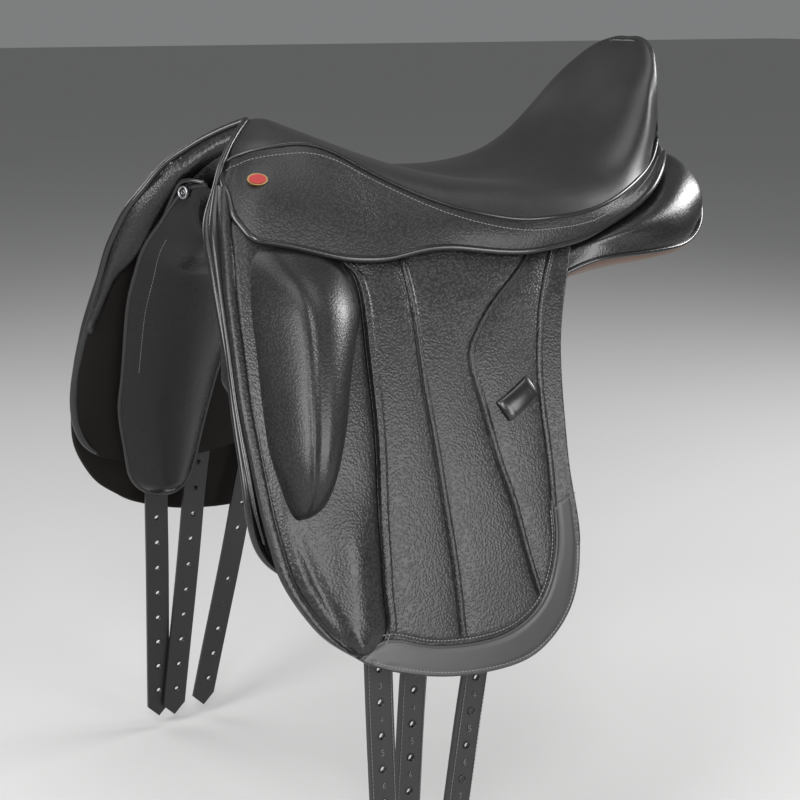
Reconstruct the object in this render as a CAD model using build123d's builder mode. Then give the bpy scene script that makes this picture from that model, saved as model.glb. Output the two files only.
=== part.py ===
from build123d import *
import math
import os

# An english dressage saddle.  +X is the horse's left, +Y the rear, +Z up.  The origin lies on the
# symmetry plane, under the lowest point of the seat, level with the middle of the panels' bearing face.

# ---- driving dimensions, mm ----
FLAP_T = 6.0            # quilted flap, leather and foam
PATCH_T = 1.4           # smooth calf on the flap's lower edge
KEEPER_GAP = 4.0        # room for a stirrup leather under the keeper
KEEPER_T = 3.0
SKIRT_T = 4.5
COVER_T = 2.5           # seat leather with its thin backing
STRAP_W = 23.6
STRAP_T = 3.5
STRAP_END_Z = -490.0
HOLE_R = 2.6
HOLE_PITCH = 27.6
HOLE_COUNT = 10
FIRST_HOLE_Z = -212.0
LEAN_Z = -290.0         # below this the girth straps hang straight
LEAN = 0.07
CHANNEL_X = 34.0        # half width of the gullet channel
CLEAR = 0.3             # gap between pieces that lie on each other

# layers inside the flap, measured inwards from the flap's inner face
LAYER_A = (-5.5, -2.0)      # front and rear girth straps
LAYER_B = (-11.0, -7.5)     # middle girth strap
WEB_LAYER = (-10.5, -2.5)
SWEAT_LAYER = (-16.0, -13.0)
TONGUE_LAYER = (-27.0, -17.5)

SHEET_FRONT_Y = -330.0
SHEET_REAR_Y = 280.0
SHEET_REACH = 420.0

os.makedirs("parts", exist_ok=True)


# ---- the curved side of the saddle ----
def flank_curve(z):
    """Half width of the flap's inner face at height z, at the front of the flap."""
    return 129.7 - 0.639 * z - 0.001116 * z ** 2 - 1.04e-6 * z ** 3


def hang_curve(z):
    """The layers under the flap hang straighter than the flap does."""
    level = max(z, LEAN_Z)
    free = min(level + 60.0, 0.0)
    return flank_curve(level) - 0.000444 * free ** 2 + LEAN * (level - z)


def surface(curve, y, z, out=0.0):
    """x on a side surface at (y, z), moved outwards by out along its normal."""
    slope = (curve(z + 1.0) - curve(z - 1.0)) / 2.0
    toe = 0.1 * min(max((z + 290.0) / 290.0, 0.0), 1.0)
    return curve(z) + toe * (y + 230.0) + out * math.hypot(1.0, slope)


def flank(y, z, out=0.0):
    return surface(flank_curve, y, z, out)


def hang(y, z, out=0.0):
    return surface(hang_curve, y, z, out)


def levels(top, bottom, steps):
    return [top + (bottom - top) * i / steps for i in range(steps + 1)]


def side_band(curve, layer, heights):
    """A curved sheet of the whole side: two section profiles joined by straight lines."""
    ends = []
    for y in (SHEET_FRONT_Y, SHEET_REAR_Y):
        with BuildSketch(Plane.XZ.offset(-y)) as end:
            with BuildLine():
                outer = Spline(*[(surface(curve, y, z, layer[1]), z) for z in heights])
                inner = Spline(*[(surface(curve, y, z, layer[0]), z) for z in heights])
                Line(outer @ 0, inner @ 0)
                Line(outer @ 1, inner @ 1)
            make_face()
        ends.append(end.sketch)
    loft(ends, ruled=True)


def fold_plane(start, end):
    """A plane through a fold line on the side, square to the leather, facing up."""
    along = Vector(*end) - Vector(*start)
    normal = Vector(1.0, 0.0, 0.7)
    up = normal.cross(along)
    if up.Z < 0:
        up = up * -1
    return Plane(origin=start, x_dir=along, z_dir=up)


def export(piece, name):
    piece.part.label = name
    export_step(piece.part, f"parts/{name}.step")


def export_pair(piece, name):
    """Write the left piece and its mirror image."""
    export(piece, name + "_left")
    with BuildPart() as other:
        mirror(piece.part, about=Plane.YZ)
    export(other, name + "_right")


# ---- heights along the saddle ----
SPINE = [(-190, 97), (-140, 88), (-100, 76), (-50, 60), (20, 41), (90, 43), (140, 50), (185, 62), (245, 90)]


def spine(y):
    """Underside of the tree's rails at y."""
    for (y0, z0), (y1, z1) in zip(SPINE, SPINE[1:]):
        if y <= y1:
            return z0 + (z1 - z0) * (y - y0) / (y1 - y0)
    return SPINE[-1][1]


# Seat sections: y, seam half width, seam z, rim half width, rim z, crown z
SEAT = [
    (-197, 41, 105, 30, 114, 121),
    (-175, 52, 117, 40, 125, 133),
    (-150, 59, 121, 46, 130, 138),
    (-125, 67, 119, 55, 126, 131),
    (-100, 79, 107, 66, 117, 123),
    (-60, 102, 84, 88, 97, 106),
    (-20, 125, 68, 110, 83, 92),
    (20, 140, 59, 127, 76, 83),
    (60, 146, 59, 134, 75, 81),
    (100, 143, 64, 133, 80, 88),
    (140, 130, 72, 123, 94, 105),
    (175, 112, 83, 108, 108, 131),
    (207, 90, 95, 89, 130, 157),
    (229, 68, 111, 70, 156, 180),
    (243, 44, 117, 42, 184, 194),
    (252, 20, 122, 18, 198, 201),
]

# Skirt sections: y, seam x, seam z, edge x, edge z, bulge between seam and edge
SKIRT = [
    (-203, 38, 102, 107, 57, 12),
    (-180, 49, 116, 117, 51, 10),
    (-140, 62, 122, 129, 40, 7),
    (-100, 79, 107, 134, 37, 5),
    (-60, 102, 84, 136, 41, 4),
    (-20, 125, 68, 141, 38, 3),
    (20, 140, 59, 148, 34, 2.5),
    (60, 146, 59, 151, 37, 2),
    (100, 143, 64, 147, 46, 1.5),
    (140, 130, 72, 139, 58, 1.5),
    (175, 112, 83, 125, 74, 1.5),
    (207, 90, 95, 101, 88, 1.5),
    (226, 74, 109, 84, 98, 1.5),
]

# Panel sections: y, then inner top, outer top, outer bottom and inner bottom as (x, z)
PANEL = [
    (-184, (24, 84), (40, 75), (83, 16), (24, 62)),
    (-150, (28, 83), (42, 76), (93, 6), (30, 56)),
    (-100, (34, 71), (55, 66), (105, -6), (34, 40)),
    (-50, (34, 55), (70, 53), (117, -16), (34, 26)),
    (20, (34, 36), (106, 35), (141, -18), (34, 14)),
    (60, (34, 37), (110, 37), (140, -8), (34, 11)),
    (95, (34, 38), (124, 40), (148, 11), (34, 12)),
    (140, (34, 45), (131, 50), (150, 17), (34, 20)),
    (185, (34, 57), (116, 66), (142, 25), (34, 31)),
    (215, (34, 71), (98, 80), (134, 31), (34, 42)),
    (238, (36, 84), (76, 89), (120, 44), (37, 53)),
    (250, (42, 86), (68, 88), (100, 58), (46, 63)),
]

# fold lines
FLAP_FOLD = [(flank(-205, 36, FLAP_T + 0.5), -205, 36), (flank(80, 20, FLAP_T + 0.5), 80, 20)]
SKIRT_FOLD = [(87, -203, 83), (149, 30, 36)]
FLAP_FOLD_GAP = 1.0
SKIRT_FOLD_GAP = 6.5


# ---- tree ----
RAIL_RISE = 10.0
RAIL = [
    (-156, 36, 52), (-140, 38, 54), (-100, 42, 66), (-50, 50, 76), (20, 58, 100), (90, 56, 100), (140, 50, 90),
    (185, 42, 72),
]


def rail_section(y, x_in, x_out):
    z = spine(y)
    with BuildSketch(Plane.XZ.offset(-y)) as section:
        Polygon((x_in, z), (x_out, z), (x_out - 2, z + RAIL_RISE), (x_in + 2, z + RAIL_RISE), align=None)
    return section.sketch


with BuildPart() as tree_rail:
    loft([
        rail_section(y, x_in, x_out)
        for y, x_in, x_out in RAIL
    ], ruled=True)
export_pair(tree_rail, "tree_rail")


# The pommel is cut back: its front edge is a V in plan.
V_TIP_Y = -154.0
V_SLOPE = 0.93
V_REACH = 60.0


def chevron(near, far, reach=V_REACH):
    """V band in plan, from near to far behind the pommel's front edge."""
    ends = V_TIP_Y - V_SLOPE * reach
    with BuildSketch(Plane.XY) as plan:
        Polygon(
            (0, V_TIP_Y + near), (reach, ends + near), (reach, ends + far), (0, V_TIP_Y + far),
            (-reach, ends + far), (-reach, ends + near), align=None,
        )
    extrude(plan.sketch, amount=200)


def front_arch(top, bottom):
    """Keep an arch seen from the front, between two curves given for the left half."""
    with BuildSketch(Plane.XZ.offset(260)) as arch:
        with BuildLine():
            upper = Spline(*[(-x, z) for x, z in reversed(top[1:])], *top)
            lower = Spline(*[(-x, z) for x, z in reversed(bottom[1:])], *bottom)
            Line(upper @ 0, lower @ 0)
            Line(upper @ 1, lower @ 1)
        make_face()
    extrude(arch.sketch, amount=-200, mode=Mode.INTERSECT)


with BuildPart() as tree_head:
    chevron(9, 21, reach=56)
    front_arch([(0, 129), (20, 119), (40, 102), (53, 90)], [(0, 115), (25, 101), (40, 88), (48, 79)])
export(tree_head, "tree_head")

with BuildPart() as gullet_plate:
    chevron(9, 26, reach=46)
    front_arch([(0, 114.5), (25, 100.3), (40, 87)], [(0, 112), (25, 97.8), (38, 86)])
export(gullet_plate, "gullet_plate")


def long_band(low, high, half_width):
    """A strip along the saddle, low to high above the rails' underside."""
    stations = [y for y, _ in SPINE]
    with BuildSketch(Plane.YZ) as side:
        with BuildLine():
            upper = Polyline(*[(y, spine(y) + high) for y in stations])
            lower = Polyline(*[(y, spine(y) + low) for y in stations])
            Line(upper @ 0, lower @ 0)
            Line(upper @ 1, lower @ 1)
        make_face()
    extrude(side.sketch, amount=half_width, both=True)


with BuildPart() as seat_webbing:
    long_band(10.5, 11.5, 25)
    with BuildSketch(Plane.XY):
        with Locations((0, 30)):
            Rectangle(60, 300)
    extrude(amount=200, mode=Mode.INTERSECT)
export(seat_webbing, "seat_webbing")

with BuildPart() as cross_webbing:
    long_band(11.9, 12.9, 95)
    with BuildSketch(Plane.XY):
        with Locations((0, 20)):
            Rectangle(200, 48)
    extrude(amount=200, mode=Mode.INTERSECT)
export(cross_webbing, "cross_webbing")

with BuildPart() as channel_lining:
    long_band(-2.8, -1.5, CHANNEL_X + 6)
    with BuildSketch(Plane.XY):
        with Locations((0, 47)):
            Rectangle(100, 354)
    extrude(amount=200, mode=Mode.INTERSECT)
export(channel_lining, "channel_lining")

# ---- cantle ----
CANTLE_PLAN = [(0, 258.5), (27, 256), (53, 246.5), (80, 229), (97, 207)]


def cantle_band(inner, outer, low, high, mode=Mode.ADD):
    """A crescent in plan, following the cantle's back."""
    def shifted(d):
        half = [(x * (1 + d / 110.0), y + d) for x, y in CANTLE_PLAN]
        return [(-x, y) for x, y in reversed(half[1:])] + half

    with BuildSketch(Plane.XY.offset(low)) as plan:
        with BuildLine():
            back = Spline(*shifted(outer))
            front = Spline(*shifted(inner))
            Line(back @ 0, front @ 0)
            Line(back @ 1, front @ 1)
        make_face()
    extrude(plan.sketch, amount=high - low, mode=mode)


def cantle_face(top, low):
    """Keep the cantle's outline seen from behind."""
    with BuildSketch(Plane.XZ.offset(-180)) as outline:
        with BuildLine():
            upper = Spline(*[(-x, z) for x, z in reversed(top[1:])], *top)
            Polyline(upper @ 1, (top[-1][0], low), (-top[-1][0], low), upper @ 0)
        make_face()
    extrude(outline.sketch, amount=-100, mode=Mode.INTERSECT)


with BuildPart() as cantle_facing:
    cantle_band(0, 2.6, 90, 210)
    cantle_face([(0, 203), (25, 200.5), (50, 186), (74, 159), (86, 138)], 97)
export(cantle_facing, "cantle_facing")

with BuildPart() as tree_cantle:
    cantle_band(-19, -11, 97, 175)
    cantle_face([(0, 168), (25, 166), (48, 152), (68, 130)], 97)
export(tree_cantle, "tree_cantle")


# ---- seat ----
def seat_outer(row, sink=0.0):
    y, w, zw, wr, zr, zc = row
    w, wr = w - 4.0 - sink, wr - sink
    half = [(0, zc - sink), (wr * 0.55, zc - (zc - zr) * 0.35 - sink), (wr, zr - sink), (w, zw + 5.0)]
    return [(-x, z) for x, z in reversed(half[1:])] + half


with BuildPart() as seat_cover:
    for row in SEAT:
        with BuildSketch(Plane.XZ.offset(-row[0])):
            with BuildLine():
                skin = Spline(*seat_outer(row))
                lining = Spline(*seat_outer(row, COVER_T))
                Line(skin @ 0, lining @ 0)
                Line(skin @ 1, lining @ 1)
            make_face()
    loft()
    with BuildSketch(Plane.XY.offset(60)):
        Polygon((0, V_TIP_Y), (V_REACH, V_TIP_Y - V_SLOPE * V_REACH), (-V_REACH, V_TIP_Y - V_SLOPE * V_REACH),
                align=None)
    extrude(amount=100, mode=Mode.SUBTRACT)
export(seat_cover, "seat_cover")

FOAM_REACH_Y = (-125, 243)

with BuildPart() as seat_foam:
    for row in SEAT:
        if FOAM_REACH_Y[0] <= row[0] <= FOAM_REACH_Y[1]:
            under = min(spine(row[0]) + 16.0, row[2] - 1.0)
            with BuildSketch(Plane.XZ.offset(-row[0])):
                with BuildLine():
                    skin = Spline(*seat_outer(row, COVER_T + 2.4))
                    Polyline(skin @ 1, (row[1] - 24.0, under), (24.0 - row[1], under), skin @ 0)
                make_face()
    loft()
    cantle_band(-19 - CLEAR, -11 + CLEAR, 90, 176, Mode.SUBTRACT)
export(seat_foam, "seat_foam")

with BuildPart() as pommel_facing:
    chevron(0, 7.5, reach=50)
    front_arch([(0, 132), (20, 121), (36, 108), (49, 95)], [(0, 113), (25, 104), (40, 91), (48, 83)])
export(pommel_facing, "pommel_facing")


# ---- skirts ----
def skirt_section(row):
    y, xs, zs, xe, ze, crown = row
    length = math.hypot(xe - xs, ze - zs)
    normal = ((zs - ze) / length, (xe - xs) / length)
    middle = ((xs + xe) / 2 + normal[0] * crown, (zs + ze) / 2 + normal[1] * crown)
    points = [(xs, zs), middle, (xe, ze)]
    with BuildSketch(Plane.XZ.offset(-y)) as section:
        with BuildLine():
            outer = ThreePointArc(*points)
            inner = ThreePointArc(*[(x - normal[0] * SKIRT_T, z - normal[1] * SKIRT_T) for x, z in points])
            Line(outer @ 0, inner @ 0)
            Line(outer @ 1, inner @ 1)
        make_face()
    return section.sketch


skirt_fold = fold_plane(*SKIRT_FOLD)

with BuildPart() as skirt_root:
    loft([skirt_section(row) for row in SKIRT])
    split(bisect_by=skirt_fold, keep=Keep.TOP)
export_pair(skirt_root, "skirt_root")

with BuildPart() as skirt:
    loft([skirt_section(row) for row in SKIRT])
    split(bisect_by=skirt_fold.offset(-SKIRT_FOLD_GAP), keep=Keep.BOTTOM)
export_pair(skirt, "skirt")

PIPING = 2.6


def cord_section(y, x, z):
    with BuildSketch(Plane.XZ.offset(-y)) as section:
        with Locations((x, z)):
            Rectangle(PIPING, PIPING, rotation=45)
    return section.sketch


with BuildPart() as seat_welt:
    loft([cord_section(row[0], row[1] - 1.2, row[2] + 1.9) for row in SKIRT[:-1]])
export_pair(seat_welt, "seat_welt")

# ---- badge on each skirt ----
BADGE_AT = (82.8, -187, 97.6)
BADGE_W = 17.0
BADGE_H = 13.0

with BuildPart() as badge:
    face = Plane(origin=BADGE_AT, x_dir=(0, 1, 0), z_dir=(0.62, -0.1, 0.78))
    with BuildSketch(face):
        Ellipse(BADGE_W / 2, BADGE_H / 2)
    extrude(amount=2.0)
    with BuildSketch(face.offset(2.0)):
        Ellipse(BADGE_W / 2 - 1.4, BADGE_H / 2 - 1.4)
    extrude(amount=-0.6, mode=Mode.SUBTRACT)
export_pair(badge, "badge_rim")

with BuildPart() as enamel:
    with BuildSketch(face.offset(1.45)):
        Ellipse(BADGE_W / 2 - 1.45, BADGE_H / 2 - 1.45)
    extrude(amount=0.9)
export_pair(enamel, "badge_enamel")

# ---- stirrup bars ----
BAR_Z = 68.0
BAR_X = 93.0
BAR_FRONT_Y = -132.0
BAR_REAR_Y = -60.0
BAR_H = 9.0
BAR_T = 7.0
PLATE_X = 74.0
PLATE_Z = 69.5
PLATE_H = 18.0
PLATE_REAR_Y = -70.0
RIVETS = [(-113.0, 72.0), (-80.0, 72.0)]
PLATE_T = 3.5
PIN_Y = -65.0
PIN_R = 1.2
EYE_R = 3.2
CATCH_T = 2.6
CATCH_L = 14.0
SLOT_T = 3.2
RIVET_R = 2.5

with BuildPart() as stirrup_bar:
    with Locations((PLATE_X, (BAR_FRONT_Y + PLATE_REAR_Y) / 2, PLATE_Z)):
        Box(PLATE_T, PLATE_REAR_Y - BAR_FRONT_Y, PLATE_H)
    with Locations(((PLATE_X + BAR_X) / 2, BAR_FRONT_Y + 5, BAR_Z)):
        Box(BAR_X - PLATE_X + BAR_T, 10, BAR_H)
    with Locations((BAR_X, (BAR_FRONT_Y + BAR_REAR_Y) / 2, BAR_Z)):
        Box(BAR_T, BAR_REAR_Y - BAR_FRONT_Y, BAR_H)
    fillet(stirrup_bar.edges().filter_by(Axis.Z).sort_by(Axis.X)[-2:], 3)
    with Locations((BAR_X, BAR_REAR_Y - 6, BAR_Z)):
        Box(SLOT_T, 18, BAR_H, mode=Mode.SUBTRACT)
    with Locations(Plane.YZ.offset(BAR_X - 10) * Location((PIN_Y, BAR_Z, 0))):
        Cylinder(PIN_R, 40, mode=Mode.SUBTRACT)
    for y, z in RIVETS:
        with Locations(Plane.YZ.offset(PLATE_X) * Location((y, z, 0))):
            Cylinder(RIVET_R, 10, mode=Mode.SUBTRACT)
export_pair(stirrup_bar, "stirrup_bar")

with BuildPart() as bar_catch:
    with BuildSketch(Plane.YZ.offset(BAR_X - CATCH_T / 2)):
        with Locations((PIN_Y, BAR_Z)):
            Circle(EYE_R)
        with Locations((PIN_Y + CATCH_L / 2, BAR_Z)):
            Rectangle(CATCH_L, 5)
        with Locations((PIN_Y + CATCH_L, BAR_Z + 0.8)):
            Circle(3.3)
        with Locations((PIN_Y, BAR_Z)):
            Circle(PIN_R + 0.08, mode=Mode.SUBTRACT)
    extrude(amount=CATCH_T)
export_pair(bar_catch, "bar_catch")

with BuildPart() as catch_pin:
    with BuildSketch(Plane.YZ.offset(BAR_X - BAR_T / 2)):
        with Locations((PIN_Y, BAR_Z)):
            Circle(PIN_R - 0.01)
    extrude(amount=BAR_T)
export_pair(catch_pin, "catch_pin")

with BuildPart() as bar_rivet:
    with BuildSketch(Plane.YZ.offset(PLATE_X + PLATE_T / 2)):
        with Locations(*RIVETS):
            Circle(RIVET_R + 2)
    extrude(amount=1.6)
    with BuildSketch(Plane.YZ.offset(PLATE_X - PLATE_T / 2)):
        with Locations(*RIVETS):
            Circle(RIVET_R - 0.02)
    extrude(amount=PLATE_T)
export_pair(bar_rivet, "bar_rivets")


# ---- panel ----
def panel_section(row, inset=0.0, top=0.0):
    y, a, b, c, d = row
    a = (a[0] + inset, a[1] + top)
    b = (b[0] - inset * 1.15, b[1] + top)
    c = (c[0] - inset * 1.3, c[1] + inset)
    d = (d[0] + inset, d[1] + inset * 1.15)
    with BuildSketch(Plane.XZ.offset(-y)) as section:
        with BuildLine():
            Line(a, b)
            ThreePointArc(b, ((b[0] + c[0]) / 2 + 2.5, (b[1] + c[1]) / 2 + 1.5), c)
            ThreePointArc(c, ((c[0] + d[0]) / 2 - 1.5, (c[1] + d[1]) / 2 - 3.5), d)
            Line(d, a)
        make_face()
    return section.sketch


def shortened(rows, by):
    first, last = rows[0], rows[-1]
    return [(first[0] + by, *first[1:]), *rows[1:-1], (last[0] - by, *last[1:])]


PANEL_SKIN = 3.0

with BuildPart() as panel_cover:
    loft([panel_section(row) for row in PANEL])
    loft([panel_section(row, PANEL_SKIN, 12) for row in shortened(PANEL, PANEL_SKIN)], mode=Mode.SUBTRACT)
export_pair(panel_cover, "panel_cover")

with BuildPart() as panel_flocking:
    loft([panel_section(row, PANEL_SKIN + 0.8, -0.5) for row in shortened(PANEL, PANEL_SKIN + 0.8)])
export_pair(panel_flocking, "panel_flocking")

with BuildPart() as panel_piping:
    loft([cord_section(row[0], row[3][0] + 3.4, row[3][1] - 0.5) for row in PANEL[6:-1]])
export_pair(panel_piping, "panel_piping")

TONGUE_OUTLINE = [
    (-198, 58), (-209, 27), (-215, 11), (-217, -17), (-214, -57), (-210, -110), (-209, -140), (-200, -187),
    (-194, -212), (-183, -227), (-166, -236), (-148, -237), (-134, -229), (-127, -204), (-122, -178), (-115, -135),
    (-107, -98), (-95, -50), (-85, 0),
]

with BuildPart() as panel_tongue:
    side_band(hang_curve, TONGUE_LAYER, levels(120, -300, 12))
    with BuildSketch(Plane.YZ) as tongue_outline:
        with BuildLine():
            edge = Spline(*TONGUE_OUTLINE)
            Polyline(edge @ 1, (-85, 58), edge @ 0)
        make_face()
    extrude(amount=SHEET_REACH, mode=Mode.INTERSECT)
export_pair(panel_tongue, "panel_tongue")

# Studs with a ring, one each side of the arch, tie the panel's front to the head.
STUD_AT = (40, -194, 79)

with BuildPart() as panel_stud:
    with Locations(Plane(origin=STUD_AT, x_dir=(1, 0, 0), z_dir=(-0.35, -0.9, 0.1))):
        Cylinder(5.5, 2.2)
        Cylinder(2.6, 4, mode=Mode.SUBTRACT)
export_pair(panel_stud, "panel_stud")

# ---- sweat flap ----
SWEAT_OUTLINE = [
    (-223, 70), (-234, 40), (-241, -7), (-246, -41), (-251, -90), (-252, -134), (-246, -163), (-228, -186),
    (-190, -199), (-130, -203), (-70, -195), (-30, -165), (-12, -115), (-2, -60), (18, -10), (46, 22),
]

with BuildPart() as sweat_flap:
    side_band(hang_curve, SWEAT_LAYER, levels(120, -300, 12))
    with BuildSketch(Plane.YZ):
        with BuildLine():
            edge = Spline(*SWEAT_OUTLINE)
            Polyline(edge @ 1, (46, 42), (-45, 42), (-56, 50), (-132, 50), (-150, 66), edge @ 0)
        make_face()
    extrude(amount=SHEET_REACH, mode=Mode.INTERSECT)
export_pair(sweat_flap, "sweat_flap")

# ---- flaps ----
FLAP_FRONT = [(-222, 72), (-228, 49), (-240, -5), (-247, -56), (-248, -130), (-243, -174), (-225, -212)]
FLAP_LOW = [(-191, -244), (-157, -262), (-123, -273), (-91, -278), (-58, -279), (-30, -274), (-8, -260), (8, -240)]
FLAP_REAR = [(18, -218), (24, -179), (23, -128), (28, -81), (38, -36), (49, -9), (69, 25)]
FLAP_TOP = [(78, 40), (20, 42), (-45, 42), (-56, 50), (-132, 50), (-150, 66)]


def flap_outline():
    with BuildSketch(Plane.YZ) as outline:
        with BuildLine():
            edge = Spline(*FLAP_FRONT, *FLAP_LOW, *FLAP_REAR)
            Polyline(edge @ 1, *FLAP_TOP, edge @ 0)
        make_face()
    return outline.sketch


flap_fold = fold_plane(*FLAP_FOLD)

with BuildPart() as flap_root:
    side_band(flank_curve, (0, FLAP_T), levels(120, -300, 12))
    extrude(flap_outline(), amount=SHEET_REACH, mode=Mode.INTERSECT)
    split(bisect_by=flap_fold.offset(FLAP_FOLD_GAP), keep=Keep.TOP)
export_pair(flap_root, "flap_root")

with BuildPart() as flap:
    side_band(flank_curve, (0, FLAP_T), levels(120, -300, 12))
    extrude(flap_outline(), amount=SHEET_REACH, mode=Mode.INTERSECT)
    split(bisect_by=flap_fold.offset(-FLAP_FOLD_GAP), keep=Keep.BOTTOM)
export_pair(flap, "flap")

PATCH_INNER = [(23, -150), (1, -161), (-1, -187), (-8, -210), (-21, -231), (-42, -245), (-68, -251), (-101, -250),
               (-136, -243), (-160, -236), (-190, -244)]

with BuildPart() as flap_patch:
    side_band(flank_curve, (FLAP_T + CLEAR, FLAP_T + CLEAR + PATCH_T), levels(0, -300, 9))
    extrude(flap_outline(), amount=SHEET_REACH, mode=Mode.INTERSECT)
    with BuildSketch(Plane.YZ):
        with BuildLine():
            top = Polyline(PATCH_INNER[0], PATCH_INNER[1])
            edge = Spline(*PATCH_INNER[1:-1])
            Polyline(edge @ 1, PATCH_INNER[-1], (-190, -300), (60, -300), (60, -150), top @ 0)
        make_face()
    extrude(amount=SHEET_REACH, mode=Mode.INTERSECT)
export_pair(flap_patch, "flap_patch")

# Knee block: z, then foot and ridge points from front to rear as (y, height above the flap)
KNEE = [
    (24, [(-217, 0), (-205, 12), (-165, 14), (-134, 0)]),
    (0, [(-224, 0), (-207, 36), (-165, 38), (-133, 0)]),
    (-45, [(-230, 0), (-213, 42), (-172, 44), (-153, 0)]),
    (-90, [(-233, 0), (-219, 36), (-190, 38), (-171, 0)]),
    (-120, [(-230, 0), (-222, 20), (-202, 22), (-188, 0)]),
    (-138, [(-222, 0), (-218, 4), (-209, 4), (-204, 0)]),
]


def knee_section(z, foot):
    foot = [(flank(y, z, FLAP_T + 0.6 + height), y) for y, height in foot]
    with BuildSketch(Plane.XY.offset(z)) as section:
        with BuildLine():
            back = Spline(*foot)
            Line(back @ 1, back @ 0)
        make_face()
    return section.sketch


with BuildPart() as knee_block:
    loft([knee_section(z, foot) for z, foot in KNEE])
export_pair(knee_block, "knee_block")

# Keeper: a flat loop across the flap that holds the end of the stirrup leather.
KEEPER_AT = (-16, -75)
KEEPER_L = 42.0
KEEPER_W = 20.0
KEEPER_TILT = 28.0
KEEPER_FOOT = 6.0

with BuildPart() as keeper:
    side_band(flank_curve, (FLAP_T + CLEAR, FLAP_T + CLEAR + KEEPER_GAP + KEEPER_T), levels(20, -160, 6))
    with BuildSketch(Plane.YZ):
        with Locations(Location((*KEEPER_AT, 0), (0, 0, KEEPER_TILT))):
            Rectangle(KEEPER_L, KEEPER_W)
    extrude(amount=SHEET_REACH, mode=Mode.INTERSECT)
    with BuildPart(mode=Mode.PRIVATE) as passage:
        side_band(flank_curve, (FLAP_T - 1, FLAP_T + CLEAR + KEEPER_GAP), levels(20, -160, 6))
        with BuildSketch(Plane.YZ):
            with Locations(Location((*KEEPER_AT, 0), (0, 0, KEEPER_TILT))):
                Rectangle(KEEPER_L - 2 * KEEPER_FOOT, KEEPER_W * 2)
        extrude(amount=SHEET_REACH, mode=Mode.INTERSECT)
    add(passage.part, mode=Mode.SUBTRACT)
export_pair(keeper, "keeper")

# ---- girthing ----
WEB_OUTLINE = [(-172, 44), (14, 44), (14, 55), (-172, 58)]

with BuildPart() as girth_web:
    side_band(hang_curve, WEB_LAYER, levels(120, -60, 6))
    with BuildSketch(Plane.YZ):
        Polygon(*WEB_OUTLINE, align=None)
    extrude(amount=SHEET_REACH, mode=Mode.INTERSECT)
export_pair(girth_web, "girth_web")

STRAP_TOP_Z = 42.0
STRAPS = {  # y at the flap's lower edge, forward lean per mm of drop, layer
    "front_strap": (-159.0, 0.0, LAYER_A),
    "middle_strap": (-124.0, 0.10, LAYER_B),
    "rear_strap": (-68.0, 0.20, LAYER_A),
}


def strap_y(low_y, lean, z):
    return low_y + lean * (z - LEAN_Z)


def strap_outline(low_y, lean):
    top, low = strap_y(low_y, lean, STRAP_TOP_Z), strap_y(low_y, lean, STRAP_END_Z)
    half, point = STRAP_W / 2, 12.0
    with BuildSketch(Plane.YZ) as outline:
        Polygon(
            (top - half, STRAP_TOP_Z), (top + half, STRAP_TOP_Z), (low + half, STRAP_END_Z + point),
            (low, STRAP_END_Z), (low - half, STRAP_END_Z + point), align=None,
        )
    return outline.sketch


def punch_holes(low_y, lean):
    for i in range(HOLE_COUNT):
        z = FIRST_HOLE_Z - HOLE_PITCH * i
        lean_x = 0.15 if z > LEAN_Z else LEAN
        y = strap_y(low_y, lean, z)
        with Locations(Plane(origin=(hang(y, z), y, z), x_dir=(0, 1, 0), z_dir=(1, 0, lean_x))):
            Cylinder(HOLE_R, 40, mode=Mode.SUBTRACT)


for name, (low_y, lean, layer) in STRAPS.items():
    with BuildPart() as strap:
        side_band(hang_curve, layer, levels(60, LEAN_Z, 10) + [-400, -520])
        extrude(strap_outline(low_y, lean), amount=SHEET_REACH, mode=Mode.INTERSECT)
        punch_holes(low_y, lean)
    export_pair(strap, name)
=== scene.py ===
import math
import bpy
import bmesh
import numpy as np
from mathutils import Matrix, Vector


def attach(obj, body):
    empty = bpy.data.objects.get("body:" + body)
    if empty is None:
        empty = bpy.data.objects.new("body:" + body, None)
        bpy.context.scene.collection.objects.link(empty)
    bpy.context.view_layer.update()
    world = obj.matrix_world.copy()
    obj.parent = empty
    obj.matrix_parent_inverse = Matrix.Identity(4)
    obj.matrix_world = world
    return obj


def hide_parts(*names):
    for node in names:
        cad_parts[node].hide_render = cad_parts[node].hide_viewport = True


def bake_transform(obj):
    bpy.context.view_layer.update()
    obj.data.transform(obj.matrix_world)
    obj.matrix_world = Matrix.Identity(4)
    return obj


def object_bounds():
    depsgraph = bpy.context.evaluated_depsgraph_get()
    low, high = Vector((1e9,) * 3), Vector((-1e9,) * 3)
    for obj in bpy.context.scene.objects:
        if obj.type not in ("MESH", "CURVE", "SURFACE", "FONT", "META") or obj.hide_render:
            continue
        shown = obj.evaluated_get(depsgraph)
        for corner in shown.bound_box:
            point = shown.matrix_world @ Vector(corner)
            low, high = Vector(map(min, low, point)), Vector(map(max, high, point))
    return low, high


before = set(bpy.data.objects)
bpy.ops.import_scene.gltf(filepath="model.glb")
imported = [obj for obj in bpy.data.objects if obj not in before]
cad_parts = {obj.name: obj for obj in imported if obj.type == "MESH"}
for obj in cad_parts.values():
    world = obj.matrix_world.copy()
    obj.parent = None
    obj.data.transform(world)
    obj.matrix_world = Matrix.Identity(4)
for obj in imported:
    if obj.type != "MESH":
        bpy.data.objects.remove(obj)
cad_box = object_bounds()

# The saddle's frame: +X the horse's left, +Y the rear, +Z up.  Tables below are in millimetres.
MM = 0.001
FLAP_T = 6.0  # thickness of the flap
LEAN_Z = -290.0  # below this height the straps hang straight
LEAN = 0.07
MIRROR = np.array([-1, 1, 1])  # the horse's left to its right


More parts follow.
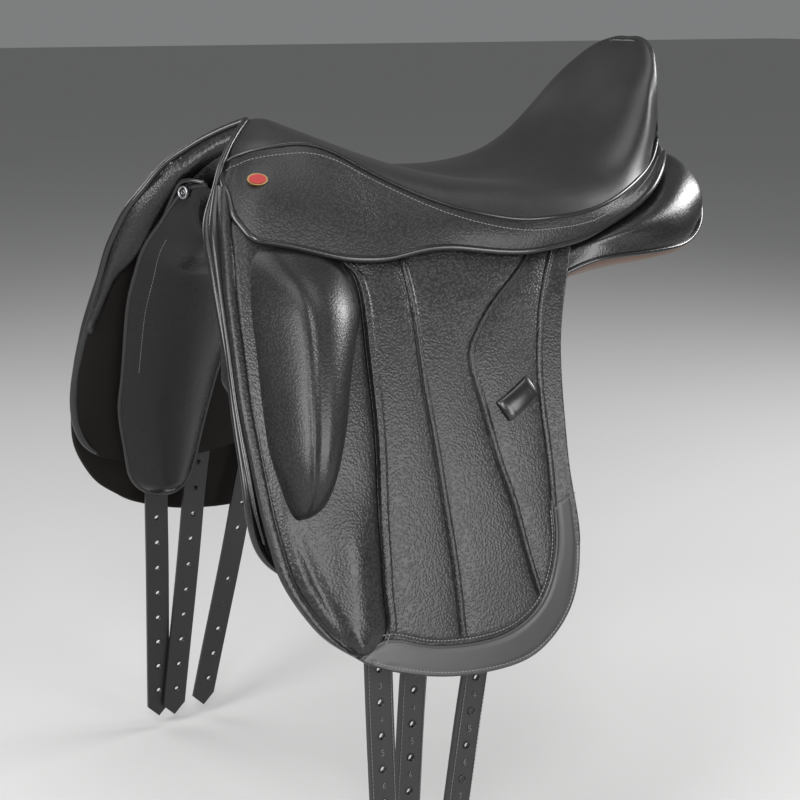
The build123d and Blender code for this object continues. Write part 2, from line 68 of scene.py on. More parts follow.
# ---------------- curves
def natural(knots, points, at):
    """Natural cubic spline through points at knots, read at the given parameters."""
    t, p, s = np.asarray(knots, float), np.asarray(points, float), np.asarray(at, float)
    n, h = len(t), np.diff(t)
    flat = p.reshape(n, -1)
    system, right = np.eye(n), np.zeros_like(flat)
    for i in range(1, n - 1):
        system[i, i - 1:i + 2] = h[i - 1], 2 * (h[i - 1] + h[i]), h[i]
        right[i] = 6 * ((flat[i + 1] - flat[i]) / h[i] - (flat[i] - flat[i - 1]) / h[i - 1])
    m = np.linalg.solve(system, right)
    k = np.clip(np.searchsorted(t, s, side="right") - 1, 0, n - 2)
    a, b, hk = ((t[k + 1] - s) / h[k])[:, None], ((s - t[k]) / h[k])[:, None], h[k][:, None]
    out = a * flat[k] + b * flat[k + 1] + ((a ** 3 - a) * m[k] + (b ** 3 - b) * m[k + 1]) * hk ** 2 / 6
    return out.reshape((len(s),) + p.shape[1:])


def chord(points):
    p = np.asarray(points, float)
    return np.concatenate([[0.0], np.cumsum(np.sqrt(np.linalg.norm(np.diff(p, axis=0), axis=-1)))])


def dense(points, step=1.0):
    """A smooth line through the points, at an even spacing."""
    p = np.asarray(points, float)
    t = chord(p)
    fine = natural(t, p, np.linspace(0, t[-1], 40 * len(p)))
    s = np.concatenate([[0.0], np.cumsum(np.linalg.norm(np.diff(fine, axis=0), axis=1))])
    even = np.linspace(0, s[-1], max(3, int(s[-1] / step) + 1))
    return np.stack([np.interp(even, s, fine[:, i]) for i in range(p.shape[1])], -1)


def at_fractions(points, fractions):
    line = dense(points, 0.5)
    s = np.linspace(0, 1, len(line))
    return np.stack([np.interp(fractions, s, line[:, i]) for i in range(line.shape[1])], -1)


def net(rows, nu, nv):
    """A smooth grid through a table of control points: rows along v, columns along u."""
    p = np.asarray(rows, float)
    tu = np.mean([chord(row) / chord(row)[-1] for row in p], axis=0)
    tv = np.mean([chord(p[:, j]) / chord(p[:, j])[-1] for j in range(p.shape[1])], axis=0)
    across = np.stack([natural(tu, row, np.linspace(0, 1, nu)) for row in p])
    return natural(tv, across, np.linspace(0, 1, nv))


def unit(v):
    return v / np.maximum(np.linalg.norm(v, axis=-1, keepdims=True), 1e-9)


def grid_normals(grid, towards):
    n = unit(np.cross(np.gradient(grid, axis=1), np.gradient(grid, axis=0)))
    return n if np.mean(np.sum(n * np.asarray(towards, float), axis=-1)) > 0 else -n


def smoothstep(x, low, high):
    t = np.clip((x - low) / (high - low), 0, 1)
    return t * t * (3 - 2 * t)


# ---------------- the side of the saddle
def flank(z):
    return 129.7 - 0.639 * z - 0.001116 * z ** 2 - 1.04e-6 * z ** 3


def hang(z):
    level = np.maximum(z, LEAN_Z)
    free = np.minimum(level + 60.0, 0.0)
    return flank(level) - 0.000444 * free ** 2 + LEAN * (level - z)


def side_x(curve, y, z, out):
    slope = (curve(z + 1.0) - curve(z - 1.0)) / 2.0
    return curve(z) + 0.1 * np.clip((z + 290.0) / 290.0, 0, 1) * (y + 230.0) + out * np.sqrt(1.0 + slope ** 2)


def on_side(curve, yz, out=0.0):
    y, z = np.asarray(yz, float)[..., 0], np.asarray(yz, float)[..., 1]
    return np.stack([side_x(curve, y, z, np.asarray(out, float) + np.zeros_like(y)), y, z], -1)


def side_normal(curve, yz):
    y, z = np.asarray(yz, float)[..., 0], np.asarray(yz, float)[..., 1]
    fy = side_x(curve, y + 0.5, z, 0.0) - side_x(curve, y - 0.5, z, 0.0)
    fz = side_x(curve, y, z + 0.5, 0.0) - side_x(curve, y, z - 0.5, 0.0)
    return unit(np.stack([np.ones_like(y), -fy, -fz], -1))


def distance(yz, line):
    """Distance of every point to a line of points in the side view."""
    flat = np.asarray(yz, float).reshape(-1, 2)
    a, b = line[:-1], line[1:]
    ab = b - a
    best = np.full(len(flat), 1e9)
    for i in range(0, len(flat), 4000):
        ap = flat[i:i + 4000, None] - a[None]
        t = np.clip(np.sum(ap * ab, -1) / np.sum(ab * ab, -1), 0, 1)
        best[i:i + 4000] = np.linalg.norm(ap - t[..., None] * ab, axis=-1).min(1)
    return best.reshape(np.asarray(yz).shape[:-1])


def beside(line, offset):
    """A line moved sideways in the side view, towards +Y for a line that runs down."""
    tangent = unit(np.gradient(line, axis=0))
    return line + offset * np.stack([-tangent[:, 1], tangent[:, 0]], -1)


# ---------------- meshes
class Piece:
    """Vertices, faces and materials of one visible piece, in millimetres, for the horse's left."""

    def __init__(self):
        self.verts, self.faces, self.which, self.materials, self.count = [], [], [], [], 0

    def add(self, verts, faces, material):
        verts = np.asarray(verts, float).reshape(-1, 3)
        if material not in self.materials:
            self.materials.append(material)
        self.verts.append(verts)
        self.faces.append(np.asarray(faces) + self.count)
        self.which.append(np.full(len(faces), self.materials.index(material)))
        self.count += len(verts)

    def grid(self, points, material, closed=False):
        rows, cols = points.shape[:2]
        index = np.arange(rows * cols).reshape(rows, cols)
        if closed:
            index = np.concatenate([index, index[:, :1]], 1)
        a, b, c, d = index[:-1, :-1], index[:-1, 1:], index[1:, 1:], index[1:, :-1]
        self.add(points, np.stack([a, b, c, d], -1).reshape(-1, 4), material)

    def shell(self, outer, inner, material, lining=None):
        """Two grids of the same size and the walls between their borders."""
        self.grid(outer, material)
        self.grid(inner, lining or material)
        for o, i in ((outer[0], inner[0]), (outer[-1], inner[-1]), (outer[:, 0], inner[:, 0]),
                     (outer[:, -1], inner[:, -1])):
            self.grid(np.stack([o, i]), material)

    def tube(self, line, radius, material, sides=10, caps=True):
        line = np.asarray(line, float)
        tangent = unit(np.gradient(line, axis=0))
        normal = np.zeros_like(line)
        first = np.cross(tangent[0], [0.3, 0.2, 0.9])
        normal[0] = first / np.linalg.norm(first)
        for i in range(1, len(line)):
            n = normal[i - 1] - tangent[i] * np.dot(normal[i - 1], tangent[i])
            normal[i] = n / np.linalg.norm(n)
        binormal = np.cross(tangent, normal)
        turn = np.linspace(0, 2 * np.pi, sides, endpoint=False)
        radius = np.broadcast_to(np.asarray(radius, float), (len(line),))[:, None, None]
        ring = (np.cos(turn)[None, :, None] * normal[:, None] + np.sin(turn)[None, :, None] * binormal[:, None])
        points = line[:, None] + ring * radius
        if caps:
            for end, way in ((0, -1), (-1, 1)):
                r = radius[end] * 0.6
                cap = line[end] + tangent[end] * way * radius[end, 0] * 0.6 + ring[end] * r
                tip = np.repeat((line[end] + tangent[end] * way * radius[end, 0])[None], sides, 0)
                extra = [cap[None], tip[None]]
                points = np.concatenate(extra[::-1] + [points] if end == 0 else [points] + extra)
        self.grid(points, material, closed=True)

    def stitches(self, line, normals, material, pitch=3.6, length=2.9, radius=0.5, lift=0.0):
        """A row of short sunk threads along a line on a surface."""
        line, normals = np.asarray(line, float), np.asarray(normals, float)
        s = np.concatenate([[0.0], np.cumsum(np.linalg.norm(np.diff(line, axis=0), axis=1))])
        at = np.arange(pitch * 0.6, s[-1] - pitch * 0.4, pitch)
        if not len(at):
            return

        def read(table, where):
            return np.stack([np.interp(where, s, table[:, i]) for i in range(3)], -1)

        centre, normal = read(line, at), unit(read(normals, at))
        along = unit(read(line, at + 0.6) - read(line, at - 0.6))
        across = unit(np.cross(normal, along))
        rings, sides = [(-0.5, 0.25), (-0.38, 0.85), (0.0, 1.0), (0.38, 0.85), (0.5, 0.25)], 6
        turn = np.linspace(0, 2 * np.pi, sides, endpoint=False)
        local = np.array([[(x * length, r * radius * math.cos(a), r * radius * math.sin(a) + lift) for a in turn]
                          for x, r in rings]).reshape(-1, 3)
        verts = (centre[:, None] + local[None, :, :1] * along[:, None] + local[None, :, 1:2] * across[:, None]
                 + local[None, :, 2:] * normal[:, None])
        face = []
        for r in range(len(rings) - 1):
            for k in range(sides):
                n = (k + 1) % sides
                face.append((r * sides + k, r * sides + n, (r + 1) * sides + n, (r + 1) * sides + k))
        face = np.array(face)
        step = len(local)
        faces = (face[None] + (np.arange(len(at)) * step)[:, None, None]).reshape(-1, 4)
        self.add(verts, faces, material)

    def build(self, name, side=1):
        verts = np.concatenate(self.verts) * MM
        faces = np.concatenate(self.faces)
        if side < 0:
            verts, faces = verts * MIRROR, faces[:, ::-1]
        mesh = bpy.data.meshes.new(name)
        mesh.from_pydata(verts.tolist(), [], faces.tolist())
        for material in self.materials:
            mesh.materials.append(material)
        mesh.polygons.foreach_set("material_index", np.concatenate(self.which).astype(np.int32))
        work = bmesh.new()
        work.from_mesh(mesh)
        bmesh.ops.remove_doubles(work, verts=work.verts, dist=1e-6)
        bmesh.ops.recalc_face_normals(work, faces=work.faces)
        for f in work.faces:
            f.smooth = True
        work.to_mesh(mesh)
        work.free()
        piece = bpy.data.objects.new(name, mesh)
        bpy.context.collection.objects.link(piece)
        return piece


SIDES = (("left", 1), ("right", -1))


def declare(nodes):
    """Hide the CAD nodes that a piece stands for."""
    if nodes:
        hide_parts(*nodes)


def pair(piece, name, body=None, nodes=(), blend=None):
    """Build a piece for both sides and hide the CAD nodes it stands for; given a blend, bake each one's transform,
    else tie it to its body's empty.
    """
    for word, side in SIDES:
        obj = piece.build(f"{name}_{word}", side)
        if blend:
            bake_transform(obj)
        else:
            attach(obj, body.replace("SIDE", word))
        declare([f"{n}_{word}" for n in nodes])


def single(piece, name, nodes=()):
    """Build one piece on the centre line."""
    obj = piece.build(name)
    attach(obj, "saddle")
    declare(nodes)


# ---------------- materials
class Nodes:
    def __init__(self, name):
        self.material = bpy.data.materials.new(name)
        self.material.use_nodes = True
        self.tree = self.material.node_tree
        self.shader = self.tree.nodes["Principled BSDF"]
        self.place = self.new("ShaderNodeTexCoord").outputs["Object"]

    def new(self, kind, **settings):
        node = self.tree.nodes.new(kind)
        for key, value in settings.items():
            if key in node.inputs:
                node.inputs[key].default_value = value
            else:
                setattr(node, key, value)
        return node

    def link(self, a, b):
        self.tree.links.new(a, b)

    def noise(self, scale, detail=4.0, roughness=0.55, place=None):
        node = self.new("ShaderNodeTexNoise", Scale=scale, Detail=detail, Roughness=roughness)
        self.link(place or self.place, node.inputs["Vector"])
        return node.outputs["Fac"]

    def stretched(self, scale):
        node = self.new("ShaderNodeMapping")
        node.inputs["Scale"].default_value = scale
        self.link(self.place, node.inputs["Vector"])
        return node.outputs["Vector"]

    def range(self, value, low, high, to_low=0.0, to_high=1.0):
        node = self.new("ShaderNodeMapRange", interpolation_type="SMOOTHSTEP")
        for key, v in (("From Min", low), ("From Max", high), ("To Min", to_low), ("To Max", to_high)):
            node.inputs[key].default_value = v
        self.link(value, node.inputs["Value"])
        return node.outputs["Result"]

    def mix_colour(self, fac, a, b):
        node = self.new("ShaderNodeMix", data_type="RGBA")
        node.inputs["A"].default_value, node.inputs["B"].default_value = (*a, 1), (*b, 1)
        self.link(fac, node.inputs["Factor"])
        return node.outputs["Result"]

    def bump(self, height, strength, depth, below=None):
        node = self.new("ShaderNodeBump", Strength=strength, Distance=depth * MM)
        self.link(height, node.inputs["Height"])
        if below:
            self.link(below, node.inputs["Normal"])
        return node.outputs["Normal"]

    def set(self, **values):
        for key, value in values.items():
            self.shader.inputs[key.replace("_", " ")].default_value = value


def leather(name, dark, light, rough, pebble=0.0, cell=1.8, fine=0.25, creases=0.0, specular=0.5):
    """Dyed leather: pebble grain of a given cell size in mm, fine pores, soft creases, with painted shade on the
    grain: the colour is made darker in the creases between pebbles and lighter on their tops.
    """
    n = Nodes(name)
    normal = n.bump(n.noise(22.0, 1.0), 0.10, 2.0)
    if creases:
        long = n.noise(1.0, 3.0, 0.5, n.stretched((120.0, 120.0, 26.0)))
        normal = n.bump(n.range(long, 0.45, 0.62), creases, 0.4, normal)
    tone = n.range(n.noise(25.0, 2.0), 0.2, 0.9, 0.25, 0.55)
    if pebble:
        warp = n.new("ShaderNodeVectorMath", operation="MULTIPLY_ADD")
        wobble = n.new("ShaderNodeTexNoise", Scale=200.0, Detail=1.0)
        n.link(n.place, wobble.inputs["Vector"])
        n.link(wobble.outputs["Color"], warp.inputs[0])
        warp.inputs[1].default_value = (cell * 0.4 * MM,) * 3
        n.link(n.place, warp.inputs[2])
        cells = n.new("ShaderNodeTexVoronoi", Scale=1000.0 / cell)
        n.link(warp.outputs["Vector"], cells.inputs["Vector"])
        height = n.range(cells.outputs["Distance"], 0.05, 0.75, 1.0, 0.0)
        normal = n.bump(height, pebble, 0.5, normal)
        # painted shade on the grain: the tone is darkened in the creases between pebbles and lightened on their
        # tops, following the bump's height
        both = n.new("ShaderNodeMath", operation="MULTIPLY")
        n.link(tone, both.inputs[0])
        n.link(n.range(cells.outputs["Distance"], 0.2, 0.7, 1.7, 0.2), both.inputs[1])
        tone = both.outputs[0]
    normal = n.bump(n.noise(1500.0, 3.0, 0.6), fine, 0.08, normal)
    n.link(normal, n.shader.inputs["Normal"])
    n.link(n.mix_colour(tone, dark, light), n.shader.inputs["Base Color"])
    n.link(n.range(n.noise(30.0, 2.0), 0.2, 0.85, rough - 0.02, rough + 0.03), n.shader.inputs["Roughness"])
    n.set(Specular_IOR_Level=specular)
    return n.material


def metal(name, colour, rough, scratch=0.06):
    n = Nodes(name)
    brushed = n.noise(1.0, 4.0, 0.6, n.stretched((90.0, 900.0, 900.0)))
    n.link(n.bump(brushed, scratch, 0.05), n.shader.inputs["Normal"])
    n.link(n.range(n.noise(220.0, 5.0), 0.3, 0.8, rough - 0.06, rough + 0.1), n.shader.inputs["Roughness"])
    n.link(n.mix_colour(n.noise(40.0), colour, tuple(c * 0.8 for c in colour)), n.shader.inputs["Base Color"])
    n.set(Metallic=1.0)
    return n.material


def weave(name, dark, light, thread=1.1):
    n = Nodes(name)
    total = n.new("ShaderNodeMath", operation="MAXIMUM")
    for i, way in enumerate(("X", "Y")):
        wave = n.new("ShaderNodeTexWave", bands_direction=way, Scale=1000.0 / thread / 6.283, Distortion=0.4)
        n.link(n.place, wave.inputs["Vector"])
        n.link(wave.outputs["Fac"], total.inputs[i])
    n.link(n.bump(total.outputs[0], 0.6, 0.3), n.shader.inputs["Normal"])
    n.link(n.mix_colour(n.noise(300.0), dark, light), n.shader.inputs["Base Color"])
    n.set(Roughness=0.85)
    return n.material


def plywood(name):
    n = Nodes(name)
    wave = n.new("ShaderNodeTexWave", bands_direction="Z", Scale=90.0, Distortion=1.2, Detail=3.0)
    n.link(n.place, wave.inputs["Vector"])
    grain = n.mix_colour(wave.outputs["Fac"], (0.030, 0.019, 0.012), (0.045, 0.028, 0.018))
    n.link(grain, n.shader.inputs["Base Color"])
    n.link(n.bump(n.noise(1.0, 5.0, 0.6, n.stretched((60.0, 700.0, 700.0))), 0.2, 0.2), n.shader.inputs["Normal"])
    n.set(Roughness=0.55)
    return n.material


def lacquer(name, dark, light, rough):
    n = Nodes(name)
    n.link(n.mix_colour(n.noise(500.0), dark, light), n.shader.inputs["Base Color"])
    n.link(n.bump(n.noise(900.0), 0.08, 0.1), n.shader.inputs["Normal"])
    n.set(Roughness=rough, Coat_Weight=0.15, Coat_Roughness=0.2)
    return n.material


BLACK = (0.0035, 0.0035, 0.004)
SOFT_BLACK = (0.014, 0.014, 0.015)
# the lighter end of the random tone; leather() also pushes the pebble tops towards it as part of the painted shade
# on the grain
TONE_AND_PAINTED_TOP_BLACK = (0.018, 0.018, 0.019)
seat_calf = leather("seat_calf", BLACK, SOFT_BLACK, 0.42, pebble=0.08, cell=1.7, fine=0.08, specular=0.55)
pebble = leather("pebble_leather", BLACK, TONE_AND_PAINTED_TOP_BLACK, 0.39, pebble=0.48, cell=2.1, fine=0.08, specular=0.55)
skirt_leather = leather("skirt_leather", BLACK, SOFT_BLACK, 0.43, pebble=0.36, cell=2.1, fine=0.1, specular=0.45)
glossy_calf = leather("glossy_calf", BLACK, TONE_AND_PAINTED_TOP_BLACK, 0.36, pebble=0.34, cell=2.2, fine=0.08, creases=0.05)
block_calf = leather("block_calf", BLACK, SOFT_BLACK, 0.38, pebble=0.2, cell=2.1, fine=0.06, specular=0.5)
patch_calf = leather("patch_calf", (0.010, 0.010, 0.0105), (0.016, 0.016, 0.0165), 0.36, fine=0.2, specular=0.6)
rolled = leather("rolled_edge", BLACK, SOFT_BLACK, 0.25, fine=0.12, specular=0.6)
panel_calf = leather("panel_calf", BLACK, SOFT_BLACK, 0.30, pebble=0.18, cell=2.1, fine=0.06, specular=0.6)
# a darker copy of panel_calf: its lighter colour is lowered as painted shade for the tongue inside the arch
tongue_calf = leather("tongue_calf", BLACK, (0.008, 0.008, 0.009), 0.26, pebble=0.2, cell=2.1, fine=0.06,
                      creases=0.15, specular=0.34)
brown_lining = leather("brown_lining", (0.007, 0.006, 0.0055), (0.010, 0.008, 0.007), 0.6, fine=0.3, specular=0.12)
tan_lining = leather("tan_lining", (0.07, 0.032, 0.017), (0.11, 0.055, 0.03), 0.45, fine=0.3)
strap_leather = leather("strap_leather", (0.006, 0.006, 0.0065), (0.012, 0.012, 0.013), 0.42, fine=0.25)
thread = leather("black_thread", (0.09, 0.09, 0.093), (0.17, 0.17, 0.176), 0.5, fine=0.6)
steel = metal("nickelled_steel", (0.30, 0.30, 0.31), 0.34)
spring_steel = metal("spring_steel", (0.12, 0.13, 0.16), 0.4)
brass = metal("gilt_brass", (0.30, 0.20, 0.09), 0.35)
enamel = lacquer("red_enamel", (0.20, 0.001, 0.001), (0.27, 0.002, 0.002), 0.5)
webbing = weave("cotton_webbing", (0.30, 0.28, 0.24), (0.42, 0.4, 0.35))

# ---------------- seat
SEAT_NET = [  # from the centre line to the seam with the skirt
    [(0, -154, 138), (10, -164, 133), (20, -174, 127), (30, -184, 120), (40, -195, 107)],
    [(0, -142, 139.5), (14, -152, 137), (27, -162, 131), (39, -172, 124), (48, -181, 114.5)],
    [(0, -125, 134.5), (18, -132, 134), (35, -139, 130), (49, -148, 125), (58, -156, 120.5)],
    [(0, -100, 124), (22, -104, 124.5), (42, -108, 122), (58, -113, 119), (67, -123, 118.5)],
    [(0, -60, 107), (34, -60, 107), (64, -62, 103.5), (88, -64, 96.5), (100, -64, 86.5)],
    [(0, -20, 94.5), (40, -20, 95), (80, -20, 91.5), (110, -20, 83), (125, -20, 69)],
    [(0, 20, 84.5), (45, 20, 86), (90, 20, 86.5), (122, 20, 79), (140, 20, 60)],
    [(0, 60, 80), (46, 60, 82.5), (92, 60, 84.5), (126, 60, 78), (146, 60, 60)],
    [(0, 100, 85), (46, 100, 86.5), (92, 100, 85.5), (124, 100, 79.5), (143, 100, 64.5)],
    [(0, 140, 98), (43, 140, 99), (84, 140, 96), (113, 140, 86.5), (130, 140, 73)],
    [(0, 175, 122), (38, 175, 123), (76, 174, 118.5), (101, 173, 104), (113, 174, 83)],
    [(0, 205, 155), (34, 204, 156), (65, 202, 152.5), (88, 201, 131), (93, 202, 94.5)],
    [(0, 225, 181), (30, 225, 181), (55, 222, 176), (75, 217, 154), (76, 220, 108)],
    [(0, 240, 197.5), (28, 239, 197), (48, 235, 189), (68, 228, 164), (67, 230, 120)],
    [(0, 249, 203), (16, 248.5, 203), (36, 245, 197), (57, 236, 176), (64, 234, 124)],
]


def both_halves(rows):
    return [[(-x, y, z) for x, y, z in reversed(row[1:])] + list(row) for row in rows]


SEAT_T = 5.0
seat_grid = net(both_halves(SEAT_NET), 109, 181)
seat = Piece()
seat.shell(seat_grid, seat_grid - SEAT_T * grid_normals(seat_grid, (0, 0, 1)), seat_calf)
single(seat, "seat", ("seat_cover", "seat_foam"))

# ---------------- skirts
SKIRT_NET = [  # seam point, lower edge point, bulge
    ((40, -197, 105), (43, -199, 104), 0),
    ((42, -194, 108), (54, -204, 99.5), 0.5),
    ((43, -192, 110), (66, -208, 93.5), 1.5),
    ((45, -190, 112), (77, -209.5, 87), 3),
    ((47, -186, 113.5), (88, -211.5, 76), 5),
    ((49, -180, 116), (96, -209, 67), 8),
    ((52, -173, 118), (105, -204, 58), 10),
    ((55, -164, 119.7), (110, -195, 54), 10),
    ((58, -154, 121), (116, -176, 50), 9),
    ((63, -138, 122), (126, -145, 41.5), 8),
    ((68, -123, 119), (131, -126, 38), 7),
    ((74, -108, 112), (133.5, -108, 36.8), 6),
    ((82, -94, 103), (134, -92, 37.4), 5),
    ((98, -66, 87), (134.5, -66, 41), 4),
    ((115, -38, 74), (136.5, -38, 41), 3),
    ((130, -9, 65), (142, -10, 37), 3),
    ((141, 24, 59), (148.5, 24, 34), 2.5),
    ((146, 51, 59), (150, 51, 36), 2),
    ((146, 82, 61), (149.5, 82, 40.5), 1.5),
    ((140, 114, 66), (145, 114, 50), 1.5),
    ((128, 145, 74), (138, 147, 62), 1.5),
    ((112, 175, 83), (126, 178, 77), 1.5),
    ((90, 207, 95), (104, 207, 93), 1.5),
    ((73, 226, 108), (83, 227, 101), 1),
]
SKIRT_FOLD = (87, -203, 83), (149, 30, 36)


def below_fold(fold, side_way, reach):
    """Start and end of the soft fold: on the fold line, and square to it further down."""
    a, b = np.array(fold[0], float), np.array(fold[1], float)
    along = unit(b - a)
    down = np.cross(np.array(side_way, float), along)
    down = unit(down if down[2] < 0 else -down)
    return tuple(a), tuple(a + down * reach)


SKIRT_COLS, SKIRT_ROWS = 41, 301
skirt_rows = []
for seam, edge, crown in SKIRT_NET:
    a, b = np.array(seam, float), np.array(edge, float)
    out = unit(np.array([b[2] - a[2], 0.0, a[0] - b[0]])) * -1.0
    skirt_rows.append([a + (b - a) * f + out * crown * 4 * f * (1 - f) for f in (0, 0.33, 0.67, 1)])
skirt_grid = net(skirt_rows, SKIRT_COLS, SKIRT_ROWS)
skirt_normals = grid_normals(skirt_grid, (1, 0, 0.7))
skirt_outer = skirt_grid + skirt_normals * 0.4
skirt = Piece()
skirt.shell(skirt_outer, skirt_grid - skirt_normals * 3.2, skirt_leather, brown_lining)
skirt.tube(skirt_grid[4:, -1] - skirt_normals[4:, -1] * 0.9, 2.9, rolled, sides=14)
# the seam's stitches run 8.5 mm under the welt, and further down at the front
row_index = np.arange(SKIRT_ROWS)
skirt_width = np.linalg.norm(skirt_grid[:, -1] - skirt_grid[:, 0], axis=1)
below_seam = 8.5 + 9.0 * np.exp(-row_index / 45.0)
column = np.clip(below_seam / np.maximum(skirt_width, 1.0), 0, 0.45) * (SKIRT_COLS - 1)
low = np.floor(column).astype(int)
part = (column - low)[:, None]
stitch_line = skirt_outer[row_index, low] * (1 - part) + skirt_outer[row_index, low + 1] * part
skirt.stitches(stitch_line[14:290], skirt_normals[row_index, low][14:290], thread,
               pitch=3.2, length=2.5, radius=0.42)
pair(skirt, "skirt_leather", nodes=("skirt_root", "skirt"),
     blend=("skirt", *below_fold(SKIRT_FOLD, (1, 0, 0.7), 34.0)))

# ---------------- seat welt, right round the cantle
WELT = [(40, -197, 105.5), (45, -190, 112.5), (52, -173, 118.6), (58, -154, 121.8), (63, -138, 122.8),
        (68, -123, 119.8), (74, -108, 113), (82, -94, 104), (98, -66, 88), (115, -38, 75), (130, -9, 66),
        (141, 24, 60), (146, 51, 60), (146, 82, 62), (140, 114, 67), (128, 145, 75), (112, 175, 84),
        (90, 207, 96), (75, 224, 108), (66, 233, 112), (56, 242, 110), (40, 250, 107), (20, 255, 105),
        (0, 257, 104)]
welt_half = dense(WELT, 2.0)
welt = Piece()
welt.tube(np.concatenate([welt_half, (welt_half * MIRROR)[::-1][1:]]), 1.7, rolled)
single(welt, "seat_welt", ("seat_welt_left", "seat_welt_right"))

# ---------------- cantle facing
CANTLE_RIM = [(0, 248, 201), (16, 247.5, 201), (36, 243.5, 195), (55.5, 234.5, 174), (62, 232, 124)]
CANTLE_FOOT = [(0, 254, 84), (24, 251.5, 85), (48, 243, 87), (68, 229, 89), (83, 211, 87)]
facing_rows = []
for f in (0, 0.3, 0.7, 1):
    swell = np.array([0, 2.0, 0]) * 4 * f * (1 - f)
    facing_rows.append([tuple(np.array(a) * (1 - f) + np.array(b) * f + swell)
                        for a, b in zip(CANTLE_RIM, CANTLE_FOOT)])
facing_grid = net(both_halves(facing_rows), 61, 41)
cantle = Piece()
cantle.shell(facing_grid, facing_grid - 2.5 * grid_normals(facing_grid, (0, 1, 0)), skirt_leather)
# the rolled top edge of the cantle
rim_half = dense([(x * 0.97, y - 2.5, z - 3.5) for x, y, z in CANTLE_RIM], 2.0)
cantle.tube(np.concatenate([rim_half[::-1], (rim_half * MIRROR)[1:]]), 4.0, rolled, sides=14)
single(cantle, "cantle_facing_leather", ("cantle_facing",))

# ---------------- flap
FRONT_EDGE = [(-212, 94), (-221, 73), (-228, 49), (-235, 22), (-240, -5), (-244, -32), (-247, -56), (-248, -80),
              (-248, -130), (-246, -153), (-243, -174), (-236, -193), (-225, -212), (-212, -228), (-191, -244)]
LOW_EDGE = [(-191, -244), (-180, -251), (-157, -261), (-123, -271), (-91, -276), (-58, -277), (-33, -273),
            (-12, -262), (6, -244), (17, -222)]
REAR_EDGE = [(79, 42), (69, 25), (59, 9), (49, -9), (38, -36), (32, -59), (28, -81), (25, -105),
             (23, -128), (23, -150), (24, -179), (22, -199), (17, -222)]
SEAM_1 = [(-134, 52), (-135, 34), (-130, 28), (-128, 15), (-133, -14), (-139, -49), (-143, -78), (-149, -113),
          (-155, -148), (-159, -184), (-161, -206), (-164, -231), (-178, -241), (-191, -244)]
SEAM_2 = [(-85, 50), (-85, 34), (-86, 15), (-89, -10), (-95, -54), (-97, -98), (-98, -135), (-98, -172),
          (-98, -210), (-99, -248), (-99, -275)]
SEAM_3 = [(38, 40), (26, 28), (3, 11), (-21, -6), (-38, -23), (-48, -37), (-50, -58), (-48, -81), (-44, -119),
          (-37, -151), (-31, -190), (-22, -231), (-14, -263)]
SEAM_4 = [(62, 46), (50, 29), (32, 3), (19, -26), (8, -64), (4, -102), (2, -137), (0, -160), (2, -190),
          (17, -222)]
PATCH_IN = [(1, -161), (-1, -187), (-8, -210), (-21, -231), (-42, -245), (-68, -251), (-101, -250),
            (-136, -243), (-165, -234), (-190, -244)]
PATCH_OUT = [(23.4, -150), (24.4, -179), (22.4, -199), (17.4, -222), (6.3, -244.5), (-12, -262.5), (-33, -273.5),
             (-58, -277.5), (-91, -276.5), (-123, -271.5), (-157, -261.5), (-180, -251.5), (-190, -245)]
VALLEY = [(-226, -138), (-222, -165), (-212, -196), (-196, -232)]

edge_line = np.concatenate([dense(FRONT_EDGE, 2.0), dense(LOW_EDGE, 2.0)[1:], dense(REAR_EDGE, 2.0)[::-1][1:]])
low_line = dense(LOW_EDGE, 2.0)
patch_line = dense(PATCH_IN, 2.0)
valley_line = dense(VALLEY, 2.0)
EDGE_STEPS = [0, 0.25, 0.6, 1.0, 1.5, 2.1, 2.8, 3.5, 4.1, 4.6, 5.0, 5.4, 5.9, 6.5, 7.2, 8.0, 8.8, 9.5, 10.1, 10.6,
              11.1, 11.8, 12.8, 14.2, 16]
SEAM_STEPS = [0, 0.3, 0.6, 0.95, 1.4, 2.0, 2.7, 3.4, 4.0, 4.5, 5.0, 5.6, 6.4, 7.6, 9.2, 11.5, 14]


def across(width, left, right, step=3.4):
    """Even steps across a strip, finer along its two sides."""
    inner = list(np.linspace(left[-1], width - right[-1], max(2, int((width - left[-1] - right[-1]) / step) + 1)))
    return np.array(left[:-1] + inner + [width - r for r in reversed(right[:-1])]) / width


def strip(left, right, us, low=None, rows=170):
    """Points between two lines that run down the flap, as (y, z), and the width of each row."""
    v = np.concatenate([np.linspace(0, 0.985, rows), [0.989, 0.993, 0.996, 0.998, 1.0]])
    a, b = at_fractions(left, v), at_fractions(right, v)
    points = a[:, None] * (1 - us)[None, :, None] + b[:, None] * us[None, :, None]
    if low is not None:
        edge = at_fractions(low, us)
        points += (edge - points[-1])[None] * (v ** 5)[:, None, None]
    return points, np.linalg.norm(b - a, axis=1)


def ball(x, centre, half):
    return np.sqrt(np.clip(1 - ((x - centre) / half) ** 2, 0, 1))


def front_roll(d):
    return 2.0 * ball(d, 4.2, 4.4) - 1.3 * np.exp(-((d - 9.2) / 0.7) ** 2)


def seam_front(d, puff=2.3):
    return -0.9 * np.exp(-(d / 1.0) ** 2) + puff * (1 - np.exp(-d / 8.0)) - 0.4


def seam_ridge(d, width=4.2, height=1.3, puff=2.3):
    ridge = height * smoothstep(d, 0.2, 1.4) * (1 - smoothstep(d, width - 0.8, width + 1.4))
    return -0.9 * np.exp(-(d / 0.7) ** 2) + ridge + puff * (1 - np.exp(-np.maximum(d - width, 0) / 8.0)) - 0.4


def flap_out(yz, relief):
    """Height of the flap's face over its lining, rounded at the outline, flat under the patch."""
    rim = distance(yz, edge_line)
    inside_patch = smoothstep(distance(yz, low_line), 22.0, 30.0)
    near_patch = smoothstep(distance(yz, patch_line), 0.3, 6.0)
    above = np.where(distance(yz, low_line) > 18.0, near_patch, 0.0) * inside_patch
    body = FLAP_T * (0.5 + 0.5 * ball(np.minimum(rim, 2.5), 2.5, 2.5))
    return body + relief * smoothstep(rim, 0.0, 1.0), above


